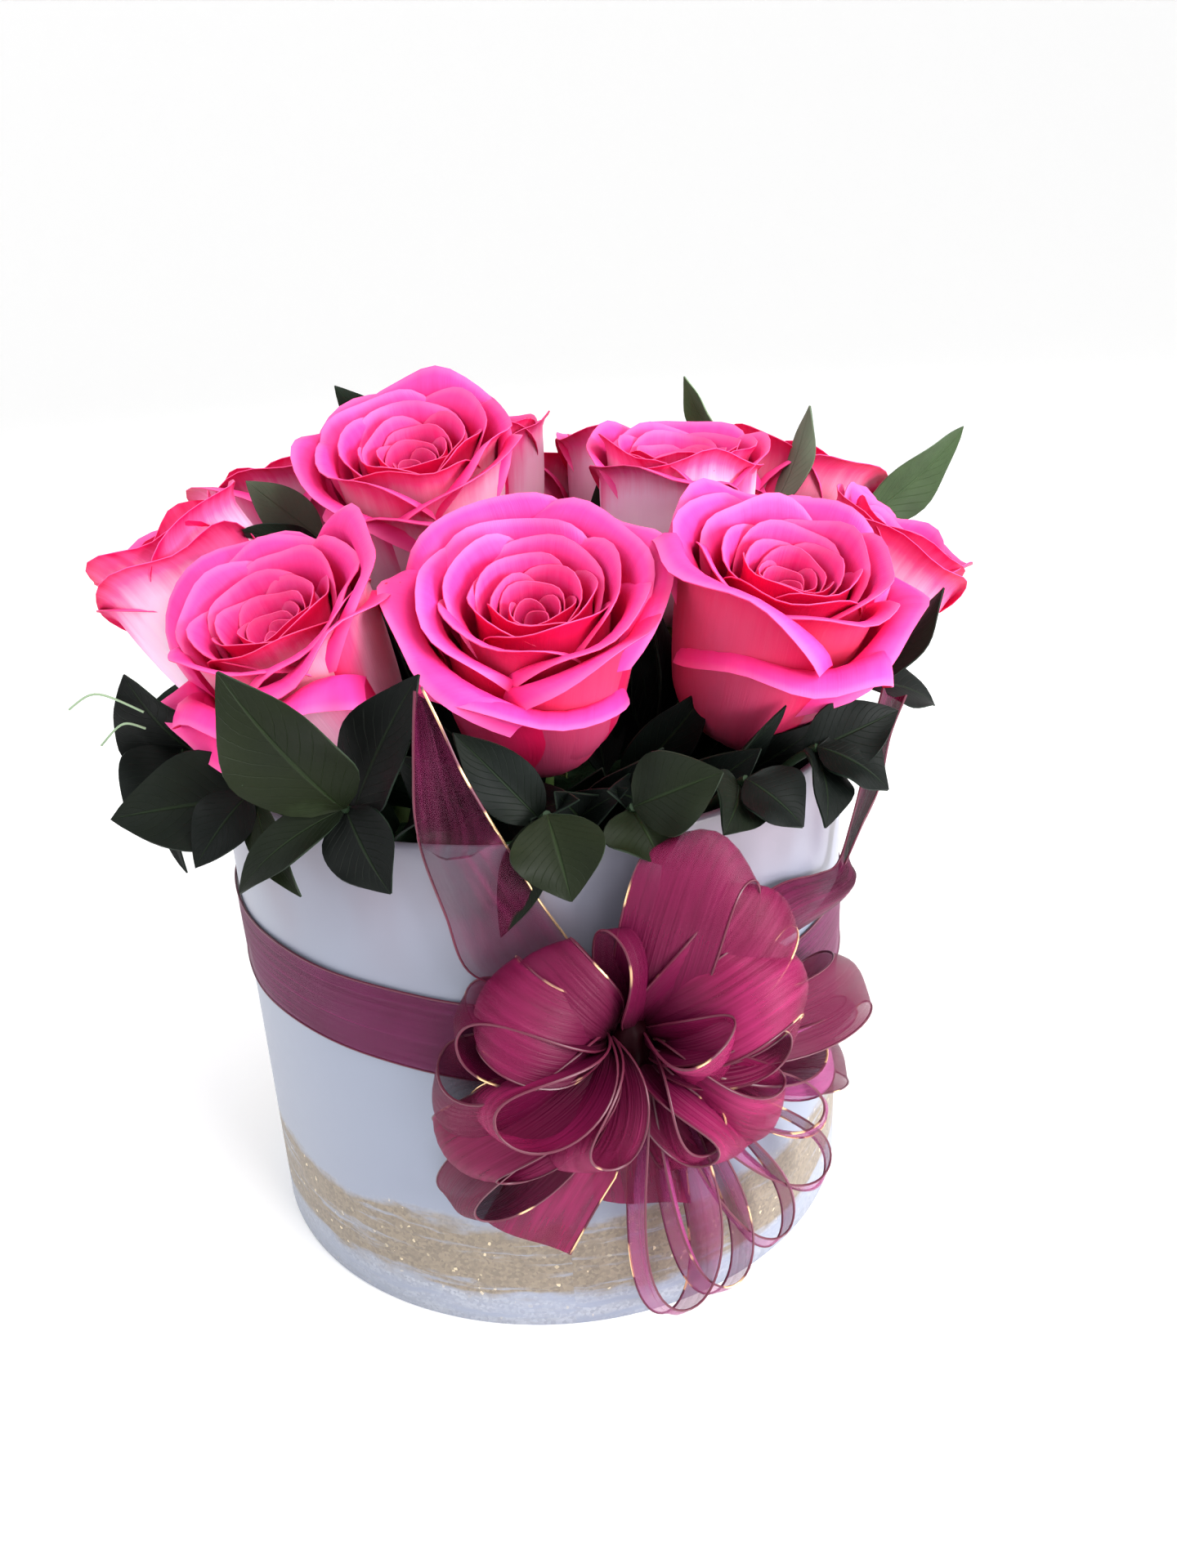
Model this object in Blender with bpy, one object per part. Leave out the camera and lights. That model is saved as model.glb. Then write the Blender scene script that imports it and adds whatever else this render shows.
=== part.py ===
# Rose box: twelve bicolour roses and dark leafy sprays in a round hat box, tied with a wired organza ribbon.
# Metres, +Z up. The origin is the centre of the box's underside, and the bow is at the front, towards -Y.

import math

import bmesh
import bpy
import numpy as np
from mathutils import Matrix, Vector

MM = 0.001
SEAT_GAP = 0.3 * MM

# The hat box, its liner and the floral foam
BOX_RADIUS = 90 * MM
BOX_HEIGHT = 146 * MM
BOX_WALL = 2.5 * MM
BASE_THICKNESS = 3 * MM
LINER_WALL = 1.0 * MM
LINER_HEIGHT = 132 * MM
FOAM_TOP = 126 * MM
BOX_SIDES = 44
INNER_SIDES = 28

# Roses: bloom size 1 is about 66 mm across and its face is 58 mm above its base
FACE_HEIGHT = 58 * MM
PETAL_THICKNESS = 0.9 * MM
PETAL_STEP = 0.085
CUP_ROWS = (0, 0.24, 0.62)
PETAL_ROWS = (0.58, 0.76, 0.9, 1.0)
PLAIN_ROWS = (0.58, 0.84, 1.0)
GOLDEN_TURN = math.radians(137.5)
PETALS = 5
CORE_SIDES = 8
HEART = ((16.5, 45), (14, 59), (10.5, 53), (7.5, 60), (4, 54), (0, 58))
HEART_LOBES = 0.1
HEART_TURN = 1.9
HEART_RISE = 1.2 * MM
ROOT_DEPTH = 2.5 * MM
STEM_RADIUS = 2.3 * MM
STEM_SIDES = 6
CALYX_RADIUS = 6 * MM
CALYX_HEIGHT = 8 * MM
STEM_DEPTH = 42 * MM
HOLE_PULL = 0.78

# Foliage
TWIG_RADIUS = 1.1 * MM
TWIG_SIDES = 4
TWIG_DEPTH = 16 * MM
BLADE_THICKNESS = 0.8 * MM
BLADE_STATIONS = (0.0, 0.3, 0.68, 1.0)
BLADE_OUTLINE = (0.14, 1.0, 0.82, 0.07)
BLADE_FOLD = 0.22
BLADE_UPTURN = 0.6

# Ribbon
RIBBON_WIDTH = 22 * MM
RIBBON_THICKNESS = 0.6 * MM
BAND_HEIGHT = 92 * MM
BAND_TILT = 5.3 * MM
KNOT_AZIMUTH = math.radians(10)
KNOT_HEIGHT = 93 * MM
KNOT_SIZE = (9 * MM, 7.6 * MM, 9 * MM)
BOW_RADIUS = 94 * MM
KNOT_STANDOFF = 6 * MM
LOOP_END_GAP = 0.55 * MM
LOOP_STATIONS = (0, 75, 125, 163, 197, 235, 285, 360)
LOOP_ROUNDNESS = 0.6
LOOP_PINCH = 0.12
RING_LEAN = 0.45

# Each rose: the middle of its face, the way and the angle it leans, its size, opening and turn.
ROSES = {
    "front_left": ((-64, -50, 199), (-0.6, -0.8), 26, 0.98, 1.00, 24),
    "front_centre": ((3, -60, 202), (0.0, -1.0), 26, 1.02, 1.00, 75),
    "front_right": ((70, -44, 201), (0.4, -0.9), 24, 1.05, 1.00, 160),
    "far_left": ((-101, 6, 204), (-1.0, 0.15), 33, 1.00, 0.70, 250),
    "far_right": ((111, 2, 193), (1.0, -0.1), 34, 0.90, 0.65, 310),
    "middle_left": ((-28, 14, 228), (-0.2, -1.0), 24, 1.04, 0.90, 115),
    "middle_right": ((48, 17, 219), (0.5, -0.8), 6, 0.92, 0.55, 205),
    "back_left": ((-72, 64, 212), (-0.7, 0.7), 18, 0.96, 0.80, 340),
    "back_bud": ((-8, 63, 222), (0.0, 1.0), 4, 0.74, 0.40, 30),
    "back_centre": ((38, 76, 214), (0.2, 1.0), 10, 0.84, 0.60, 140),
    "back_right": ((90, 56, 208), (0.85, 0.5), 23, 0.94, 0.80, 270),
    "back": ((4, 105, 198), (0.0, 1.0), 28, 0.94, 0.85, 60),
}

# The roses at the front, whose petals have one more row of points
FULL_ROSES = ("front_left", "front_centre", "front_right")

# Each spray: its hole, the end of its twig, and its leaves (share along the twig, tip, width, arch, roll)
SPRAYS = {
    "far_left": (
        (-70, -28),
        (-91, -42, 158),
        (
            (1.0, (-113, -48, 136), 27, 0.10, 0),
            (0.8, (-115, -32, 171), 22, 0.08, 0),
            (0.9, (-90, -66, 134), 12, 0.10, 0),
            (0.6, (-110, -16, 153), 19, 0.10, 0),
        ),
    ),
    "left": (
        (-58, -49),
        (-70, -64, 154),
        (
            (1.0, (-79, -74, 129), 19, 0.08, 0),
            (0.9, (-56, -87, 133), 15, 0.10, 0),
            (0.75, (-94, -60, 150), 16, 0.08, 0),
        ),
    ),
    "front_left": (
        (-36, -67),
        (-45, -83, 156),
        (
            (1.0, (-66, -93, 194), 27, 0.06, 0),
            (0.92, (-35, -95, 139), 18, 0.08, 0),
            (0.8, (-27, -79, 176), 16, 0.04, 0),
        ),
    ),
    "front": (
        (-4, -75),
        (2, -91, 154),
        (
            (1.0, (6, -100, 136), 21, 0.10, 0),
            (0.75, (-18, -84, 173), 14, 0.06, 0),
            (0.9, (-11, -92.4, 124), 11, 0.02, 0),
        ),
    ),
    "front_right": (
        (19, -73),
        (22, -90, 154),
        (
            (1.0, (42, -95, 163), 19, 0.08, 0),
            (0.88, (27, -99, 143), 20, 0.08, 0),
        ),
    ),
    "right": (
        (39, -66),
        (50, -79, 154),
        (
            (1.0, (62, -87, 144), 18, 0.08, 0),
            (0.85, (42, -94, 147), 16, 0.08, 0),
        ),
    ),
    "right_side": (
        (57, -51),
        (71, -62, 154),
        (
            (1.0, (88, -67, 143), 19, 0.10, 0),
            (0.8, (93, -56, 160), 17, 0.08, 0),
            (0.9, (69, -80, 140), 16, 0.10, 0),
        ),
    ),
    "far_right": (
        (76, -14),
        (96, -21, 157),
        (
            (1.0, (112, -30, 184), 13, 0.04, 0),
            (0.85, (118, -9, 143), 17, 0.10, 0),
        ),
    ),
    "tall_right": ((68, 26), (104, 35, 188), ((1.0, (146, 61, 212), 17, 0.06, -30),)),
    "tall_back_right": ((58, 12), (78, 26, 198), ((1.0, (88, 26, 226), 12, 0.05, 0),)),
    "tall_pale": ((38, 62), (72, 92, 205), ((1.0, (61, 100, 229), 11, 0.05, 0),)),
    "tall_left": (
        (-48, 20),
        (-58, 28, 196),
        (
            (1.0, (-76, 19, 216), 14, 0.06, 0),
            (0.8, (-74, -6, 207), 12, 0.06, 0),
        ),
    ),
    "tall_back_left": ((-34, 46), (-33, 52, 212), ((1.0, (-51, 46, 238), 14, 0.05, 0),)),
    "between": ((12, 26), (24, 44, 176), ((1.0, (26, 46, 204), 10, 0.04, 0),)),
}

# Back sprays: azimuth in degrees from the front, and the turn of each leaf from there
BACK_SPRAYS = {
    "back_1": (107, (0, 15)),
    "back_2": (150, (0, 15, -15)),
    "back_3": (206, (0, 14, -14)),
    "back_4": (250, (0, 14, -14)),
}
BACK_HOLE_RADIUS = 77
BACK_END = (93, 154)
# Leaf of a back spray: share along the twig, radius and height of its tip, width and arch
BACK_LEAVES = ((1.0, 122, 140, 21, 0.10), (0.85, 116, 150, 17, 0.08), (0.7, 115, 143, 17, 0.08))

# Straps: points as (azimuth in degrees, radius, height), then free points, all in mm,
# and the share of the width that is kept at each point
LEFT_STRAP_WALL = ((4, 92.1, 107), (1.5, 92.1, 116), (-5, 95, 128), (-11, 98, 141))
LEFT_STRAP_FREE = ((-20, -99, 152), (-25, -97, 165), (-29, -92, 180))
LEFT_STRAP_WIDTH = (0.6, 1, 1, 1, 0.9, 0.7, 0.5)
RIGHT_STRAP_WALL = (
    (7, 92.1, 94),
    (16, 92.1, 96),
    (27, 92.1, 99),
    (39, 92.1, 102),
    (51, 92.1, 106),
    (62, 93, 112),
)
RIGHT_STRAP_FREE = ((88, -38, 123), (92, -40, 138), (96, -41, 153), (99, -41, 164))
RIGHT_STRAP_WIDTH = (0.6, 0.8, 1, 1, 1, 1, 1, 0.9, 0.7, 0.5)

# Bow loops: kind, heading in degrees, length, half opening, lift and standoff at the knot in mm
LOOPS = (
    ("face", 68, 54, 6, 9, 10.5),
    ("face", 48, 57, 4, 2, 4),
    ("face", 26, 50, 6, 12, 10.5),
    ("face", 3, 62, 4, 3, 4),
    ("ring", -22, 61, 6, 2, 7),
    ("ring", -35, 67, 6, 2, 7),
    ("ring", -48, 69, 6, 1, 7),
    ("ring", -60, 71, 6, 1, 7),
    ("ring", -73, 73, 6, 1, 7),
    ("face", 154, 42, 6, 10, 10.5),
    ("face", 182, 48, 4, 2, 4),
    ("face", 206, 46, 6, 12, 10.5),
    ("face", 228, 56, 4, 2, 4),
)
# Bow tails: heading in degrees, length and standoff at the cut end in mm
TAILS = ((250, 66, 6), (269, 52, 4))


def remove_all():
    for obj in list(bpy.data.objects):
        bpy.data.objects.remove(obj, do_unlink=True)


def make_material(name, colour, roughness, metallic=0.0):
    material = bpy.data.materials.new(name)
    material.use_nodes = True
    shader = material.node_tree.nodes["Principled BSDF"]
    shader.inputs["Base Color"].default_value = (*colour, 1.0)
    shader.inputs["Roughness"].default_value = roughness
    shader.inputs["Metallic"].default_value = metallic
    return material


def make_object(name, points, faces, material=None):
    mesh = bpy.data.meshes.new(name)
    mesh.from_pydata([tuple(map(float, p)) for p in points], [], [tuple(map(int, f)) for f in faces])
    mesh.update()
    obj = bpy.data.objects.new(name, mesh)
    if material:
        mesh.materials.append(material)
    bpy.context.scene.collection.objects.link(obj)
    return obj


def turned(name, profile, sides, material=None):
    """A closed profile of (radius, height) points, walked with the solid on its left, turned about Z."""
    angles = np.linspace(0, 2 * math.pi, sides, endpoint=False)
    rings, points = [], []
    for radius, height in profile:
        if radius == 0:
            rings.append([len(points)] * sides)
            points.append((0, 0, height))
        else:
            rings.append([len(points) + k for k in range(sides)])
            points += [(radius * math.cos(a), radius * math.sin(a), height) for a in angles]
    faces = []
    closed = rings if profile[0][0] == 0 else rings + rings[:1]
    for low, high in zip(closed, closed[1:]):
        for k in range(sides):
            j = (k + 1) % sides
            corners = [low[k], low[j], high[j], high[k]]
            face = [c for n, c in enumerate(corners) if c not in corners[:n]]
            if len(face) > 2:
                faces.append(face)
    return make_object(name, points, faces, material)


def grid_slab(grid, thickness):
    """A closed slab of that thickness round a grid of points, with both faces split into triangles alike."""
    across, along = grid.shape[0], grid.shape[1]
    du = np.gradient(grid, axis=0)
    dv = np.gradient(grid, axis=1)
    normal = np.cross(du, dv)
    normal /= np.maximum(np.linalg.norm(normal, axis=2, keepdims=True), 1e-12)
    front = (grid + normal * thickness / 2).reshape(-1, 3)
    back = (grid - normal * thickness / 2).reshape(-1, 3)
    index = np.arange(across * along).reshape(across, along)
    behind = across * along
    faces = []
    for i in range(across - 1):
        for j in range(along - 1):
            a, b, c, d = index[i, j], index[i + 1, j], index[i + 1, j + 1], index[i, j + 1]
            for p, q, r in ((a, b, c), (a, c, d)):
                faces.append((p, q, r))
                faces.append((p + behind, r + behind, q + behind))
    rim = [*index[:, 0], *index[-1, 1:], *index[-2::-1, -1], *index[0, -2:0:-1]]
    for p, q in zip(rim, rim[1:] + rim[:1]):
        faces.append((q, p, p + behind))
        faces.append((q, p + behind, q + behind))
    return np.concatenate([front, back]), faces


def tube(path, radii, sides):
    """A closed tube along a path, its ring frames carried along without twist."""
    path = np.asarray(path, float)
    tangent = np.gradient(path, axis=0)
    tangent /= np.linalg.norm(tangent, axis=1, keepdims=True)
    side = np.cross(tangent[0], (0.0, 1.0, 0.0) if abs(tangent[0][1]) < 0.9 else (1.0, 0.0, 0.0))
    angles = np.linspace(0, 2 * math.pi, sides, endpoint=False)
    points, faces = [], []
    for n, (centre, forward) in enumerate(zip(path, tangent)):
        side = side - forward * side.dot(forward)
        side /= np.linalg.norm(side)
        other = np.cross(forward, side)
        points += [centre + radii[n] * (math.cos(a) * side + math.sin(a) * other) for a in angles]
    for n in range(len(path) - 1):
        for k in range(sides):
            j = (k + 1) % sides
            low, high = n * sides, (n + 1) * sides
            faces.append((low + k, low + j, high + j, high + k))
    faces.append(tuple(range(sides))[::-1])
    last = (len(path) - 1) * sides
    faces.append(tuple(last + k for k in range(sides)))
    return points, faces


def bezier(start, first, second, end, count):
    s = np.linspace(0, 1, count)[:, None]
    start, first, second, end = (np.asarray(p, float) for p in (start, first, second, end))
    return (1 - s) ** 3 * start + 3 * s * (1 - s) ** 2 * first + 3 * s * s * (1 - s) * second + s**3 * end


def keep_main_body(mesh):
    """Drops loose scraps and the walls of hollows that the union sealed, which fills them."""
    work = bmesh.new()
    work.from_mesh(mesh)
    left, bodies = set(work.faces), []
    while left:
        body, front = set(), [left.pop()]
        while front:
            face = front.pop()
            body.add(face)
            near = {f for edge in face.edges for f in edge.link_faces if f in left}
            left -= near
            front += near
        bodies.append(body)
    spans = [np.ptp([v.co for f in body for v in f.verts], axis=0).prod() for body in bodies]
    main = bodies[int(np.argmax(spans))]
    bmesh.ops.delete(work, geom=[f for f in work.faces if f not in main], context="FACES")
    bmesh.ops.triangulate(work, faces=work.faces[:])
    work.to_mesh(mesh)
    work.free()


def combine(base, pieces, operation="UNION"):
    """One Boolean of all the pieces with the base, applied, and the pieces removed."""
    group = bpy.data.collections.new(base.name + "_pieces")
    bpy.context.scene.collection.children.link(group)
    for piece in pieces:
        bpy.context.scene.collection.objects.unlink(piece)
        group.objects.link(piece)
    modifier = base.modifiers.new("combine", "BOOLEAN")
    modifier.operation = operation
    modifier.operand_type = "COLLECTION"
    modifier.collection = group
    modifier.solver = "MANIFOLD"
    bpy.context.view_layer.update()
    graph = bpy.context.evaluated_depsgraph_get()
    mesh = bpy.data.meshes.new_from_object(base.evaluated_get(graph))
    base.modifiers.clear()
    base.data = mesh
    mesh.name = base.name
    for piece in pieces:
        bpy.data.objects.remove(piece, do_unlink=True)
    bpy.data.collections.remove(group)
    keep_main_body(mesh)
    return base


def shade_round(obj, angle=40):
    obj.data.shade_smooth()
    obj.data.set_sharp_from_angle(angle=math.radians(angle))


def build_box(white, card, film):
    inner = BOX_RADIUS - BOX_WALL
    wall = turned(
        "box_wall",
        [(inner, 0), (BOX_RADIUS, 0), (BOX_RADIUS, BOX_HEIGHT), (inner, BOX_HEIGHT)],
        BOX_SIDES,
        white,
    )
    shade_round(wall)
    base_radius = inner * math.cos(math.pi / BOX_SIDES) - SEAT_GAP
    base = turned(
        "box_base",
        [(0, 0), (base_radius, 0), (base_radius, BASE_THICKNESS), (0, BASE_THICKNESS)],
        BOX_SIDES,
        card,
    )
    shade_round(base)
    low = BASE_THICKNESS + SEAT_GAP
    hollow = base_radius - LINER_WALL
    profile = [(0, low), (base_radius, low), (base_radius, LINER_HEIGHT)]
    profile += [(hollow, LINER_HEIGHT), (hollow, low + LINER_WALL), (0, low + LINER_WALL)]
    shade_round(turned("liner", profile, INNER_SIDES, film))


def build_foam(holes, green):
    """The floral foam, with a plain hole for every stem and twig."""
    low = BASE_THICKNESS + 2 * SEAT_GAP + LINER_WALL
    liner_inner = (BOX_RADIUS - BOX_WALL) * math.cos(math.pi / BOX_SIDES) - SEAT_GAP - LINER_WALL
    radius = liner_inner * math.cos(math.pi / INNER_SIDES) - SEAT_GAP
    foam = turned("foam", [(0, low), (radius, low), (radius, FOAM_TOP), (0, FOAM_TOP)], INNER_SIDES, green)
    cutters = []
    for n, (x, y, stem_radius, depth, sides) in enumerate(holes):
        hole_radius = (stem_radius + SEAT_GAP) / math.cos(math.pi / sides)
        bottom, top = FOAM_TOP - depth - SEAT_GAP, FOAM_TOP + 5 * MM
        profile = [(0, bottom), (hole_radius, bottom), (hole_radius, top), (0, top)]
        cutter = turned(f"hole_{n}", profile, sides)
        cutter.data.transform(Matrix.Translation((x, y, 0)))
        cutters.append(cutter)
    combine(foam, cutters, "DIFFERENCE")
    shade_round(foam)


def petal_grid(layer, opening, size, u, v):
    """A petal's points. Layer is 0 at the heart and 1 outside, u is -1 to 1 across, v is 0 to 1 up.

    The petal leaves its root at a lean from upright that changes along its length: wide at the cup,
    steep at the belly, and rolled out at the lip, more so at its corners. Summing the lean gives the
    radius and height, and the width is wrapped round the bloom's axis at that radius."""
    u, v = np.asarray(u, float), np.asarray(v, float)
    fine = np.linspace(0, 1, 121)
    corner = np.abs(u) ** 1.6
    cup = 35 + 48 * layer
    belly = 7 * layer * (0.3 + 0.7 * opening)
    shoulder = -6 + 15 * layer * (0.3 + 0.7 * opening)
    lip = -22 + (40 + 62 * opening) * layer**2 + 40 * opening * layer**3 * corner
    lean = np.stack([np.interp(fine, (0, 0.3, 0.75, 1), (cup, belly, shoulder, tip)) for tip in lip])
    length = (44 + 50 * layer - 24 * layer**2) * (1 - 0.12 * np.abs(u) ** 2.5)
    step = np.radians(lean)
    radius = np.cumsum(np.sin(step), axis=1) / len(fine) * length[:, None] + 1 + 3.5 * layer
    height = np.cumsum(np.cos(step), axis=1) / len(fine) * length[:, None] + 6 * (1 - layer)
    radius = np.stack([np.interp(v, fine, row) for row in radius])
    height = np.stack([np.interp(v, fine, row) for row in height])
    outline = 0.35 + 0.65 * np.sin(np.pi / 2 * np.minimum(v / 0.62, 1))
    half_width = (9 + 17 * layer) * outline
    angle = np.minimum(half_width / np.maximum(radius, 2), 1.75) * u[:, None]
    radius = radius + layer * v**2 * (1.6 * np.abs(u[:, None]) ** 3) + 0.9 * u[:, None] * v
    points = np.stack([radius * np.cos(angle), radius * np.sin(angle), height], axis=2)
    return points * size * MM


def bloom_core(size, opening):
    """The heart of the bloom and the cup that the petals stand in, as one turned profile."""
    outside = petal_grid(1.0, opening, size, [0.0], CUP_ROWS)[0]
    inward = 1.3 * MM * size
    cup = [(max(math.hypot(x, y) - inward, 3.2 * MM * size), z) for x, y, z in outside]
    cup[0] = (cup[0][0], 0.0)
    heart = [(radius * size * MM, height * size * MM) for radius, height in HEART]
    return [(0, 0.0), *cup, *heart]


def swirl(core, size):
    """Turns the rings of the heart into three-lobed ones, each turned on from the last like furled petals."""
    for ring in range(len(HEART) - 1):
        first = len(core.data.vertices) - 1 - (len(HEART) - 1 - ring) * CORE_SIDES
        for vertex in core.data.vertices[first : first + CORE_SIDES]:
            angle = math.atan2(vertex.co.y, vertex.co.x)
            vertex.co.xy *= 1 + HEART_LOBES * math.cos(3 * angle + HEART_TURN * ring)
            vertex.co.z += HEART_RISE * size * math.sin(3 * angle + HEART_TURN * ring)


def sink_root(grid, depth):
    """Draws the first row of a petal towards the bloom's axis, so that it is rooted in the core."""
    outward = grid[:, 0] * (1, 1, 0)
    grid[:, 0] -= outward / np.linalg.norm(outward, axis=1, keepdims=True) * depth
    return grid


def build_bloom(name, size, opening, turn, rows, pink):
    core = turned(name, bloom_core(size, opening), CORE_SIDES, pink)
    swirl(core, size)
    pieces = []
    for k in range(PETALS):
        layer = 1 - k * PETAL_STEP
        grid = petal_grid(layer, opening, size, np.linspace(-1, 1, 4), rows)
        grid = sink_root(grid, ROOT_DEPTH * size)
        points, faces = grid_slab(grid, PETAL_THICKNESS)
        petal = make_object(f"{name}_petal_{k}", points, faces)
        petal.data.transform(Matrix.Rotation(math.radians(turn) + k * GOLDEN_TURN, 4, "Z"))
        pieces.append(petal)
    combine(core, pieces)
    core.data.materials.clear()
    core.data.materials.append(pink)
    shade_round(core, 50)
    return core


def rose_frame(face, lean_way, lean, size):
    """The bloom's placement: its base point and its axis, from the middle of its face and its lean."""
    way = Vector((*lean_way, 0)).normalized()
    axis = Vector((0, 0, math.cos(math.radians(lean)))) + way * math.sin(math.radians(lean))
    base = Vector(face) * MM - axis * FACE_HEIGHT * size
    return base, axis.normalized()


def build_stem(name, base, axis, hole, green):
    """The stem with the flared calyx that the bloom sits on, in one piece."""
    up = Vector((0, 0, 1))
    seat = base - axis * SEAT_GAP
    below = seat - axis * CALYX_HEIGHT
    foot = Vector((*hole, FOAM_TOP - STEM_DEPTH))
    collar = Vector((*hole, FOAM_TOP + 2 * MM))
    reach = (below - collar).length
    curve = bezier(collar, collar + up * reach * 0.4, below - axis * reach * 0.4, below, 4)
    path = [foot, *map(Vector, curve), below + axis * CALYX_HEIGHT * 0.55, seat]
    radii = [STEM_RADIUS] * 4 + [STEM_RADIUS * 1.1, CALYX_RADIUS * 0.8, CALYX_RADIUS]
    points, faces = tube([tuple(p) for p in path], radii, STEM_SIDES)
    shade_round(make_object(name, points, faces, green), 50)


def blade_grid(root, tip, width, arch, roll):
    """A leaf's points: a chord from root to tip, arched, with its halves folded up from the midrib."""
    chord = tip - root
    length = np.linalg.norm(chord)
    outward = root * (1, 1, 0)
    flat = np.cross(chord, outward / np.linalg.norm(outward) + (0, 0, BLADE_UPTURN))
    flat /= np.linalg.norm(flat)
    face = np.cross(flat, chord) / length
    side = math.cos(roll) * flat + math.sin(roll) * face
    top = math.cos(roll) * face - math.sin(roll) * flat
    along = np.array(BLADE_STATIONS)[:, None]
    half = np.array(BLADE_OUTLINE)[:, None] * width / 2
    centre = root + chord * along + top * arch * length * 4 * along * (1 - along)
    return np.stack([centre + side * u * half + top * abs(u) * half * BLADE_FOLD for u in (-1, 0, 1)])


def build_spray(name, hole, end, leaves, green):
    """A twig standing in the foam with its leaves, in one piece."""
    foot = np.array((*hole, 0.0)) * MM
    end = np.array(end) * MM
    collar = foot + (0, 0, FOAM_TOP + 2 * MM)
    reach = np.linalg.norm(end - collar)
    rise = np.array((0, 0, reach))
    curve = bezier(collar, collar + rise * 0.45, end - (end - collar) * 0.25 + rise * 0.12, end, 4)
    path = [foot + (0, 0, FOAM_TOP - TWIG_DEPTH), *curve]
    points, faces = tube(path, [TWIG_RADIUS] * 4 + [TWIG_RADIUS * 0.8], TWIG_SIDES)
    twig = make_object(name, points, faces, green)
    blades = []
    share = np.linspace(0, 1, len(curve))
    for k, (along, tip, width, arch, roll) in enumerate(leaves):
        root = np.array([np.interp(along, share, curve[:, axis]) for axis in range(3)])
        grid = blade_grid(root, np.array(tip) * MM, width * MM, arch, math.radians(roll))
        points, faces = grid_slab(grid, BLADE_THICKNESS)
        blades.append(make_object(f"{name}_blade_{k}", points, faces))
    combine(twig, blades)
    twig.data.materials.clear()
    twig.data.materials.append(green)
    shade_round(twig, 50)
    return (*foot[:2], TWIG_RADIUS, TWIG_DEPTH, TWIG_SIDES)


def polar(radius, degrees):
    """The x and y of a point that far from the axis, by its azimuth from the front."""
    angle = math.radians(degrees)
    return radius * math.sin(angle), -radius * math.cos(angle)


def back_spray(azimuth, turns):
    leaves = []
    for turn, (along, radius, height, width, arch) in zip(turns, BACK_LEAVES):
        leaves.append((along, (*polar(radius, azimuth + turn), height), width, arch, 0))
    end_radius, end_height = BACK_END
    return polar(BACK_HOLE_RADIUS, azimuth), (*polar(end_radius, azimuth), end_height), leaves


def build_band(organza):
    half = RIBBON_WIDTH / 2
    inner = BOX_RADIUS + SEAT_GAP
    outer = inner + RIBBON_THICKNESS
    low, high = BAND_HEIGHT - half, BAND_HEIGHT + half
    profile = [(inner, low), (outer, low), (outer, high), (inner, high)]
    band = turned("ribbon_band", profile, BOX_SIDES, organza)
    for vertex in band.data.vertices:
        vertex.co.z -= BAND_TILT * vertex.co.x / BOX_RADIUS
    shade_round(band)


def build_strap(name, wall_points, free_points, shares, organza):
    """A strap that leaves the knot along the wall, then rises free past the rim."""
    path = [(*polar(radius * MM, azimuth), height * MM) for azimuth, radius, height in wall_points]
    path += [tuple(c * MM for c in point) for point in free_points]
    path = np.array(path)
    outward = path * (1, 1, 0)
    reach = np.linalg.norm(outward, axis=1, keepdims=True)
    side = np.cross(np.gradient(path, axis=0), outward / reach)
    side *= np.array(shares)[:, None] * RIBBON_WIDTH / 2 / np.linalg.norm(side, axis=1, keepdims=True)
    rows = []
    for u in (-1, 0, 1):
        row = path + side * u
        row[:, :2] *= reach / np.linalg.norm(row[:, :2], axis=1, keepdims=True)
        rows.append(row)
    points, faces = grid_slab(np.stack(rows), RIBBON_THICKNESS)
    shade_round(make_object(name, points, faces, organza))


def on_wall(s, w, n):
    """Points in the bow's own measure: s along the wall, w up from the knot, n out from the wall."""
    azimuth = KNOT_AZIMUTH + s / BOW_RADIUS
    radius = BOW_RADIUS + n
    return np.stack([radius * np.sin(azimuth), -radius * np.cos(azimuth), KNOT_HEIGHT + w + 0 * s], axis=-1)


def loop_grid(kind, heading, length, opening, lift, standoff):
    """A loop's strip from the knot out and back. A ring stands on edge, and a face loop shows its flat."""
    turn = np.radians(LOOP_STATIONS)
    out = length * (1 - np.cos(turn)) / 2
    swell = opening * np.sign(np.sin(turn)) * np.abs(np.sin(turn)) ** LOOP_ROUNDNESS * np.sin(turn / 2) ** 2
    ends = LOOP_END_GAP * np.cos(turn / 2)
    half = RIBBON_WIDTH / 2 * (LOOP_PINCH + (1 - LOOP_PINCH) * np.sin(turn / 2))
    rise = lift * out / length
    way = np.array((math.cos(heading), math.sin(heading)))
    cross = np.array((-way[1], way[0]))
    rows = []
    for edge in (-1, 1):
        if kind == "ring":
            lateral = swell + ends + edge * half * RING_LEAN
            depth = np.maximum(standoff, half + rise) + edge * half
        else:
            lateral = edge * half
            depth = standoff + rise + swell + ends
        s = way[0] * out + cross[0] * lateral
        w = way[1] * out + cross[1] * lateral
        rows.append(on_wall(s, w, depth))
    return np.stack(rows)


def tail_grid(heading, length, standoff):
    share = np.array((0.0, 0.25, 0.5, 0.75, 1.0))
    half = RIBBON_WIDTH / 2 * np.minimum(1, LOOP_PINCH + share * 2)
    way = np.array((math.cos(heading), math.sin(heading)))
    cross = np.array((-way[1], way[0]))
    out = KNOT_STANDOFF + (standoff - KNOT_STANDOFF) * share + 3 * MM * np.sin(share * 2 * math.pi)
    rows = []
    for edge in (-1, 1):
        s = way[0] * share * length + cross[0] * half * edge
        w = way[1] * share * length + cross[1] * half * edge
        rows.append(on_wall(s, w, out))
    return np.stack(rows)


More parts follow.
